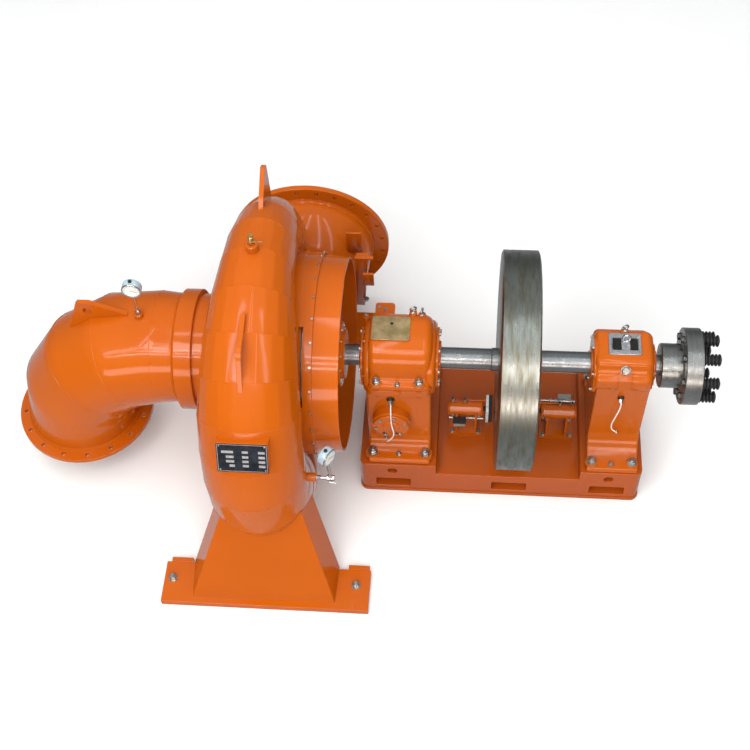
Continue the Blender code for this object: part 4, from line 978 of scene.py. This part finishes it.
def outboard_fittings():
    """Sight window, bolts, eye, plugs and sensor of the outboard bearing."""
    shape = bmesh.new()
    push(shape, round_corners((0.488, -0.062), (0.660, 0.079), 0.010), 1.0430, 1.054, "Z")
    frame_plate = piece("sight_window_frame", shape, silver_mark, ("outboard_sight_window",), soften=0.0015)
    panes = bmesh.new()
    for low, high in ((0.508, 0.556), (0.600, 0.642)):
        push(panes, round_corners((low, -0.034), (high, 0.047), 0.006), 1.049, 1.10, "Z")
    carve(frame_plate, panes)
    glass = bmesh.new()
    for low, high in ((0.506, 0.558), (0.598, 0.644)):
        slab(glass, (low, -0.036, 1.0460), (high, 0.049, 1.0496))
    piece("sight_glass", glass, dark_glass)
    screws, enamelled, dark = bmesh.new(), bmesh.new(), bmesh.new()
    ring = bmesh.new()
    loop = [Vector((0.580, 0.026, 1.080)) + ALONG * 0.020 * math.cos(math.tau * k / 32)
            + UP * 0.026 * math.sin(math.tau * k / 32) for k in range(32)]
    rope(ring, loop, 0.006, 12, closed=True)
    piece("sight_window_ring", ring, chrome)
    for x in (0.494, 0.574, 0.654):
        for y in (-0.055, 0.072):
            cap_screw(screws, (x, y, 1.053), UP, 0.004)
    knob(enamelled, [(0, 0.024), (0.040, 0.022), (0.043, 0.019)], (0.577, 0.098, 1.01), UP, 28)
    eye_bolt(screws, (0.577, 0.098, 1.052), 0.016, 20)
    tilt, seat = Vector((0, -0.80, 0.60)), Vector((0.578, -0.128, 1.004))
    knob(enamelled, [(-0.03, 0.030), (0.003, 0.029), (0.004, 0.026)], seat, tilt, 36)
    hex_bolt(screws, seat + tilt * 0.004, tilt, 0.026)
    cap_screw(screws, (0.520, -0.174, 0.896), -BACK, 0.007)
    for k in range(6):
        cap_screw(screws, round_shaft(0.415, 60 * k + 30, 0.142), -ALONG, 0.010)
        cap_screw(screws, round_shaft(0.742, 60 * k + 30, 0.106), ALONG, 0.008)
    for x, side in ((0.415, -1), (0.742, 1)):
        lathe(enamelled, [(0, COVER_BORE), (0, 0.088), (0.008, 0.086), (0.010, 0.082), (0.010, COVER_BORE)],
              round_shaft(x), ALONG * side, 64)
    round_bar(dark, (0.577, -0.160, 0.800), (0.577, -0.174, 0.792), 0.018)
    round_bar(screws, (0.577, -0.170, 0.794), (0.578, -0.188, 0.780), 0.012, 6)
    path = [(0.579, -0.188, 0.778), (0.576, -0.199, 0.735), (0.560, -0.204, 0.655), (0.549, -0.203, 0.585),
            (0.556, -0.202, 0.535), (0.578, -0.199, 0.505), (0.590, -0.190, 0.478), (0.592, -0.160, 0.460)]
    sensor_lead("outboard_sensor_lead", path)
    knob(dark, [(0, 0.010), (0.003, 0.008)], (0.592, -0.176, 0.462), -BACK, 20)
    for y in (-0.290, 0.290):
        for x in (0.463, 0.688):
            knob(enamelled, [(0, 0.037), (0.007, 0.035)], (x, y, 0.3185), UP, 36)
            hex_bolt(screws, (x, y, 0.3255), UP, 0.028, stud=0.014)
        knob(enamelled, [(0, 0.022), (0.005, 0.020)], (0.572, y * 1.05, 0.3185), UP, 28)
        hex_bolt(screws, (0.572, y * 1.05, 0.3235), UP, 0.015, stud=0.012)
    piece("outboard_bolts", screws, zinc)
    piece("outboard_bosses", enamelled, cast_enamel, soften=0.0015)
    piece("outboard_dark_plugs", dark, rubber)


def brake_fittings():
    """Cylinder ends, pipe nipples, limit switch and guide rod of both brakes, and the pads' backing."""
    screws, enamelled, switches, dark = bmesh.new(), bmesh.new(), bmesh.new(), bmesh.new()
    for side, face in ((-1, FLYWHEEL_LEFT), (1, FLYWHEEL_RIGHT)):
        def at(distance, y, z):
            """Point at a distance from the flywheel's face."""
            return Vector((face + side * distance, y, z))

        for near, far in ((0.066, 0.080), (0.255, 0.269)):
            round_bar(enamelled, at(near, 0, 0.385), at(far, 0, 0.385), 0.048, 40)
        for distance in (0.170, 0.243):
            round_bar(enamelled, at(distance, 0.010, 0.415), at(distance, 0.014, 0.434), 0.014)
            round_bar(screws, at(distance, 0.012, 0.430), at(distance, 0.016, 0.450), 0.011, 6)
            round_bar(dark, at(distance, 0.016, 0.448), at(distance, 0.018, 0.458), 0.006)
        round_bar(enamelled, at(0.045, 0.028, 0.425), at(0.160, 0.028, 0.425), 0.005)
        for distance in (0.088, 0.240):
            for y in (-0.055, 0.055):
                hex_bolt(screws, at(distance, y, 0.2148), UP, 0.014)
        # The right brake is the same unit turned round, so its switch and guide rod are at the back
        behind, raised = -side, 0.022 + 0.062 * (side > 0)
        rod = Vector((0, -0.050 * behind, 0.334 + raised))
        round_bar(screws, at(0.062, 0, 0) + rod, at(0.260, 0, 0) + rod, 0.007)
        for distance in (0.118, 0.146):
            round_bar(screws, at(distance, 0, 0) + rod, at(distance + 0.006, 0, 0) + rod, 0.014, 6)
        body, cover = ((switches, dark), (switches, switches))[side > 0]
        near, far = sorted((at(0.165, 0, 0).x, at(0.232, 0, 0).x))
        front, rear = sorted((-0.088 * behind, -0.056 * behind))
        slab(body, (near, front, 0.298 + raised), (far, rear, 0.330 + raised))
        slab(cover, (near - 0.004, front - 0.003, 0.330 + raised), (far + 0.004, rear, 0.352 + raised))
        pads = bmesh.new()
        ends = sorted((at(0.0335, 0, 0).x, at(0.0485, 0, 0).x))
        push(pads, round_corners((-0.058, 0.322), (0.058, 0.448), 0.008), *ends)
        label = "left" if side < 0 else "right"
        piece("brake_backing_" + label, pads, pad_steel, (), "brake_shoe_" + label, soften=0.001)
    piece("brake_bolts_and_pipes", screws, zinc)
    piece("brake_cylinder_ends", enamelled, cast_enamel)
    piece("limit_switches", switches, switch_grey, soften=0.002)
    piece("limit_switch_cover", dark, rubber, soften=0.002)


def pressure_gauge(name, stands_for, middle, facing, seat, stem_end, side_pipe=None):
    """Round pressure gauge with bezel, dial, hand and glass on a bright stem.

    The stem runs from stem_end up to the case; with a side pipe, a small valve sits at seat."""
    middle, seat, facing = Vector(middle), Vector(seat), Vector(facing)
    case, metal, plug, dial, glass = (bmesh.new() for _ in range(5))
    body = [(-0.024, 0.044), (-0.020, 0.050), (-0.014, 0.052), (0.016, 0.052), (0.020, 0.050)]
    knob(case, body, middle, facing, 64)
    piece(name + "_case", case, gauge_enamel, (stands_for,))
    bezel = [(0.019, 0.044), (0.019, 0.0525), (0.0225, 0.0525), (0.024, 0.051), (0.024, 0.044)]
    lathe(metal, bezel, middle, facing, 64)
    knob(dial, [(0.0195, 0.0445), (0.0208, 0.0445)], middle, facing, 48)
    lathe(glass, [(0.0222, 0), (0.0222, 0.0445), (0.0234, 0.044), (0.0236, 0)], middle, facing, 48)
    side = facing.cross(UP)
    marks = bmesh.new()
    print_level, hand_level = middle + facing * 0.0211, middle + facing * 0.0216
    for k in range(11):
        turn = math.radians(225 - 27 * k)
        ray = side * math.cos(turn) + UP * math.sin(turn)
        round_bar(marks, print_level + ray * 0.033, print_level + ray * 0.040, 0.0009, 6)
    tip = side * math.cos(math.radians(200)) + UP * math.sin(math.radians(200))
    round_bar(marks, hand_level - tip * 0.010, hand_level + tip * 0.032, 0.0012, 6)
    piece(name + "_scale", marks, rubber)
    piece(name + "_dial", dial, dial_white)
    piece(name + "_glass", glass, clear_glass)
    run = (middle - seat).normalized()
    round_bar(metal, stem_end, middle - UP * 0.045, 0.0085)
    knob(metal, [(0, 0.0125), (0.016, 0.0125), (0.018, 0.010)], middle - UP * 0.068, UP, 6)
    if side_pipe:
        round_bar(metal, side_pipe, seat, 0.009)
        round_bar(metal, seat - ALONG * 0.022, seat + ALONG * 0.022, 0.016, 6)
        round_bar(metal, seat - UP * 0.024, seat + UP * 0.024, 0.013, 6)
        knob(metal, [(0, 0.014), (0.022, 0.011)], side_pipe, ALONG, 6)
        round_bar(metal, seat, seat - BACK * 0.026, 0.006)
        round_bar(metal, seat - BACK * 0.026 - ALONG * 0.004, seat - BACK * 0.030 + ALONG * 0.034, 0.0045)
    else:
        knob(metal, [(0, 0.017), (0.024, 0.017), (0.030, 0.011)], seat, run, 6)
    round_bar(plug, middle + UP * 0.049, middle + UP * 0.060, 0.010)
    piece(name + "_metal", metal, chrome)
    piece(name + "_plug", plug, rubber)


def air_cock():
    """Small brass cock with its plug and a lever on a cross pin."""
    base = Vector((-1.34, -0.016, 1.8153))
    shape = bmesh.new()
    knob(shape, [(0, 0.019), (0.014, 0.019)], base, UP, 6)
    knob(shape, [(0.012, 0.010), (0.024, 0.009), (0.028, 0.015), (0.046, 0.015), (0.050, 0.009),
                 (0.058, 0.012), (0.062, 0.012)], base, UP, 32)
    pin = base + UP * 0.038
    round_bar(shape, pin - BACK * 0.020, pin + BACK * 0.016, 0.010)
    round_bar(shape, pin - BACK * 0.030, pin - BACK * 0.015, 0.004)
    piece("air_cock_body", shape, cast_brass, ("vent_cock",))
    shape = bmesh.new()
    lathe(shape, [(0.0203, 0.0041), (0.0203, 0.009), (0.0265, 0.009), (0.0265, 0.0041)], pin, -BACK, 24)
    rings = []
    for x, half in ((0.0065, 0.0045), (0.040, 0.0035), (0.055, 0.0050), (0.062, 0.0040)):
        corners = ((-0.0255, -half), (-0.0213, -half), (-0.0213, half), (-0.0255, half))
        rings.append([pin + Vector((x, y, z)) for y, z in corners])
    skin(shape, rings)
    piece("air_cock_handle", shape, cast_brass, ("vent_cock_lever",), "cock_lever", soften=0.0006)


def nameplate():
    """Raised orange pad on the spiral with a black plate, silver frame and blank fields."""
    angle, lift = 157, 0.024
    out, up = outward(angle), outward(angle - 90)
    centre = round_shaft(-1.336, angle, INNER_RADIUS + 2 * reading(HALF_HEIGHTS, angle))
    shape = bmesh.new()
    tilted_slab(shape, centre, ALONG, up, (0.129, 0.086, lift - 0.003), 0.06)
    piece("nameplate_pad", shape, plate_enamel, ("nameplate",), soften=0.003)
    face = centre + out * (lift - 0.003)
    shape = bmesh.new()
    tilted_slab(shape, face, ALONG, up, (0.127, 0.084, 0.0020))
    piece("nameplate_blank", shape, black_paint)
    shape = bmesh.new()
    for a in (-0.1215, 0.1215):
        tilted_slab(shape, face + ALONG * a, ALONG, up, (0.0012, 0.0795, 0.0026))
    for b in (-0.0785, 0.0785):
        tilted_slab(shape, face + up * b, ALONG, up, (0.1225, 0.0012, 0.0026))
    for b, a, wide in ((0.036, -0.072, 0.029), (0.007, -0.061, 0.019), (-0.020, -0.061, 0.020),
                       (-0.046, -0.052, 0.013)):
        for middle, half in ((a, wide), (0.015, 0.015), (0.096, 0.016)):
            tilted_slab(shape, face + ALONG * middle + up * b, ALONG, up, (half, 0.0070, 0.0026))
    for a in (-0.112, 0.112):
        for b in (-0.070, 0.070):
            place = face + ALONG * a + up * b
            lathe(shape, [(0, 0), (0, 0.004), (0.003, 0.003), (0.004, 0)], place, out, 16)
    piece("nameplate_fields", shape, silver_mark)


def link_bracket():
    """Plates on the side of the inlet duct and the hanging post that carries the regulating link."""
    shape = bmesh.new()
    slab(shape, (-1.002, 0.874, 0.700), (-0.910, 0.888, 0.882))
    web = [(0.700, 0.800), (0.700, 0.886), (0.880, 0.886), (0.880, 0.700), (0.800, 0.640)]
    push(shape, web, -0.966, -0.945)
    slab(shape, (-0.937, 0.690, 0.862), (-0.828, 0.714, 0.876))
    post = []
    for z, left, right in ((0.42, -0.948, -0.895), (0.74, -0.936, -0.868), (0.863, -0.931, -0.857)):
        corners = ((left, 0.700), (right, 0.700), (right, 0.745), (left, 0.745))
        post.append([Vector((x, y, z)) for x, y in corners])
    skin(shape, post)
    slab(shape, (-0.946, 0.730, 0.640), (-0.936, 0.880, 0.880))
    slab(shape, (-0.884, 0.600, 0.737), (-0.820, 0.618, 0.838))
    push(shape, [(0.616, 0.740), (0.616, 0.800), (0.702, 0.690), (0.702, 0.640)], -0.884, -0.856)
    plates = piece("link_bracket_plates", shape, plate_enamel, ("link_bracket",), soften=0.002)
    hole = bmesh.new()
    knob(hole, [(0, 0.016), (0.2, 0.016)], (-1.0, 0.80, 0.80), ALONG, 24)
    carve(plates, hole)
    shape = bmesh.new()
    hex_bolt(shape, (-0.884, 0.6995, 0.490), -BACK, 0.018, stud=0.008)
    piece("link_bracket_bolt", shape, zinc)


def spiral_feet():
    """Welded front foot with its leaning column and tabs, and the holding-down bolts of both feet."""
    shape = bmesh.new()
    push(shape, [(-1.925, -1.145), (-0.758, -1.145), (-0.758, -0.898), (-1.925, -0.898)], 0.0, 0.045, "Z")
    piece("front_foot_plate", shape, plate_enamel, ("scroll_foot_front",), soften=0.003)
    shape = bmesh.new()
    column = []
    for z, left, right, front, rear in ((0.04, -1.748, -0.945, -1.108, -0.885),
                                        (0.62, -1.535, -1.108, -0.86, -0.66)):
        corners = ((left, front), (right, front), (right + 0.01, rear), (left - 0.02, rear))
        column.append([Vector((x, y, z)) for x, y in corners])
    skin(shape, column)
    piece("front_foot_column", shape, plate_enamel, soften=0.006)
    shape = bmesh.new()
    for low, high in ((-1.898, -1.777), (-0.885, -0.766)):
        slab(shape, (low, -0.900, 0.0), (high, -0.872, 0.050))
    piece("front_foot_tabs", shape, plate_enamel, soften=0.003)
    shape = bmesh.new()
    for place in ((-1.875, -1.000, 0.045), (-0.836, -0.995, 0.045)):
        hex_bolt(shape, place, UP, 0.026, stud=0.020)
    for x in (-1.74, -0.83):
        hex_bolt(shape, (x, 0.80, 0.045), UP, 0.026, stud=0.020)
    piece("foot_bolts", shape, zinc)


# Parts put together

# Finishes of the nodes that show their own solid; the others of them are orange
NODE_FINISHES = {"runner": coupling_steel, "gate_ring": coupling_steel,
                 "brake_pad_left": lining, "brake_pad_right": lining}
for name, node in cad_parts.items():
    node.data.materials.clear()
    node.data.materials.append(NODE_FINISHES.get(name, plate_enamel))

scroll_case()
flange("inlet_flange_drilled", "inlet_flange",
       (INLET_X, DUCT_END + SEAT_GAP, SHAFT_HEIGHT - INLET_DROP), BACK,
       bore=0.371, radius=0.48, thick=0.035, circle=0.443, count=24, hole=0.013)
flange("draft_flange_drilled", "draft_flange", (ELBOW_X, 0, DRAFT_TOP), -UP,
       bore=0.318, radius=0.398, thick=0.03, circle=0.362, count=16, hole=0.012)
stay_rings()
draft_elbow()
round_casing()
shaft_line()
base()
main_bearing()
outboard_bearing()
main_bearing_fittings()
outboard_fittings()
brake_fittings()
pressure_gauge("spiral_gauge", "gauge_scroll", middle=(-0.963, -0.72, 0.985), facing=(0.84, -0.54, 0.0),
               seat=(-0.955, -0.72, 0.765), stem_end=(-0.955, -0.72, 0.775),
               side_pipe=(-1.030, -0.72, 0.765))
pressure_gauge("elbow_gauge", "gauge_elbow", middle=(-2.014, -0.022, 1.437), facing=-BACK,
               seat=(-2.022, -0.022, 1.2223), stem_end=(-2.021, -0.022, 1.24))
air_cock()
nameplate()
link_bracket()
spiral_feet()
for name in ("scroll_foot_rear", "brake_bracket_left", "brake_bracket_right", "head_cover"):
    soft_edges(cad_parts[name], 0.003, 30, 2, False)


# Stage

def camera():
    """Camera at the photo's place, from its turn, dip and tilt."""
    turn, dip, tilt = (math.radians(v) for v in (CAMERA_TURN, CAMERA_DIP, CAMERA_TILT))
    forward = Vector((math.sin(turn) * math.cos(dip), math.cos(turn) * math.cos(dip), -math.sin(dip)))
    level = Vector((math.cos(turn), -math.sin(turn), 0.0))
    upright = level.cross(forward)
    right = level * math.cos(tilt) + upright * math.sin(tilt)
    up = upright * math.cos(tilt) - level * math.sin(tilt)
    data = bpy.data.cameras.new("camera")
    data.lens = CAMERA_LENS
    data.sensor_width = SENSOR_WIDTH
    data.clip_end = 200.0
    eye = bpy.data.objects.new("camera", data)
    bpy.context.scene.collection.objects.link(eye)
    eye.matrix_world = Matrix.Translation(CAMERA_PLACE) @ Matrix((right, up, -forward)).transposed().to_4x4()
    bpy.context.scene.camera = eye


def soft_light(name, place, target, size, power, colour="FFFFFF", mirrored=True, lights=True):
    """Area lamp; mirrored says whether gloss shows it, and lights whether it brightens matt paint."""
    data = bpy.data.lights.new(name, "AREA")
    data.shape = "RECTANGLE"
    data.size, data.size_y = size
    data.energy = power
    data.color = srgb(colour)[:3]
    lamp = bpy.data.objects.new(name, data)
    bpy.context.scene.collection.objects.link(lamp)
    lamp.location = place
    lamp.visible_glossy = mirrored
    lamp.visible_diffuse = lights
    lamp.rotation_euler = (Vector(target) - Vector(place)).to_track_quat("-Z", "Y").to_euler()


def sky():
    """Even daylight from above, and the floor's paleness from below, falling off towards the horizon."""
    world = bpy.data.worlds.new("studio_air")
    bpy.context.scene.world = world
    world.use_nodes = True
    tree = world.node_tree
    place = add(tree, "TexCoord").outputs["Generated"]
    height = add(tree, "SeparateXYZ", {"Vector": place}).outputs["Z"]
    slope = add(tree, "Math", {0: height}, operation="ABSOLUTE")
    share = add(tree, "MapRange", {"Value": slope.outputs[0], "From Min": 0.05, "From Max": 0.75,
                                   "To Min": 0.20, "To Max": 0.60}, interpolation_type="SMOOTHSTEP")
    air = tree.nodes["Background"]
    air.inputs["Color"].default_value = srgb("EFF2F5")
    feed(tree, air, Strength=share.outputs["Result"])


def studio():
    """Pale floor, daylight from above, roof strips overhead and rows of windows in front."""
    shape = bmesh.new()
    slab(shape, (-120, -120, -0.1), (120, 120, 0))
    bmesh.ops.recalc_face_normals(shape, faces=shape.faces)
    mesh = bpy.data.meshes.new("floor")
    shape.to_mesh(mesh)
    shape.free()
    floor = bpy.data.objects.new("floor", mesh)
    bpy.context.scene.collection.objects.link(floor)
    paint = mottled("pale_painted_floor", "EFEFEE", "EDEDEB", 2.0, 0.0, 0.7, 0.8, 0.01, 0.0)
    floor.data.materials.append(paint)
    floor.visible_glossy = False
    sky()
    middle = (-0.9, 0.0, 0.7)
    soft_light("window_band", (-1.2, -8.5, 2.1), (-1.2, 0, 0.9), (11.0, 1.9), 420.0, "FFEDE6", lights=False)
    for height in (6.4, 7.6, 9.2):
        soft_light("window_row", (-1.6, -7.0, height), middle, (10.0, 0.32), 150.0, "FFF3EE", lights=False)
    for across in (-4.4, -1.6, 1.2, 4.0):
        soft_light("roof_strip", (across, -2.6, 7.5), (across * 0.6, 0.0, 0.7), (0.45, 7.0), 60.0, "F6FAFF",
                   lights=False)
    soft_light("key", (-3.2, -3.4, 6.2), middle, (1.6, 1.6), 70.0, "FFF8F0")
    soft_light("front", (-1.4, -6.6, 6.0), middle, (8.0, 4.0), 440.0, "FFFFFF", mirrored=False)
    soft_light("fill", (-1.0, -1.0, 9.0), middle, (13.0, 11.0), 960.0, "FFFFFF", mirrored=False)


camera()
studio()
view = bpy.context.scene.view_settings
view.view_transform = "Standard"
view.look = "None"
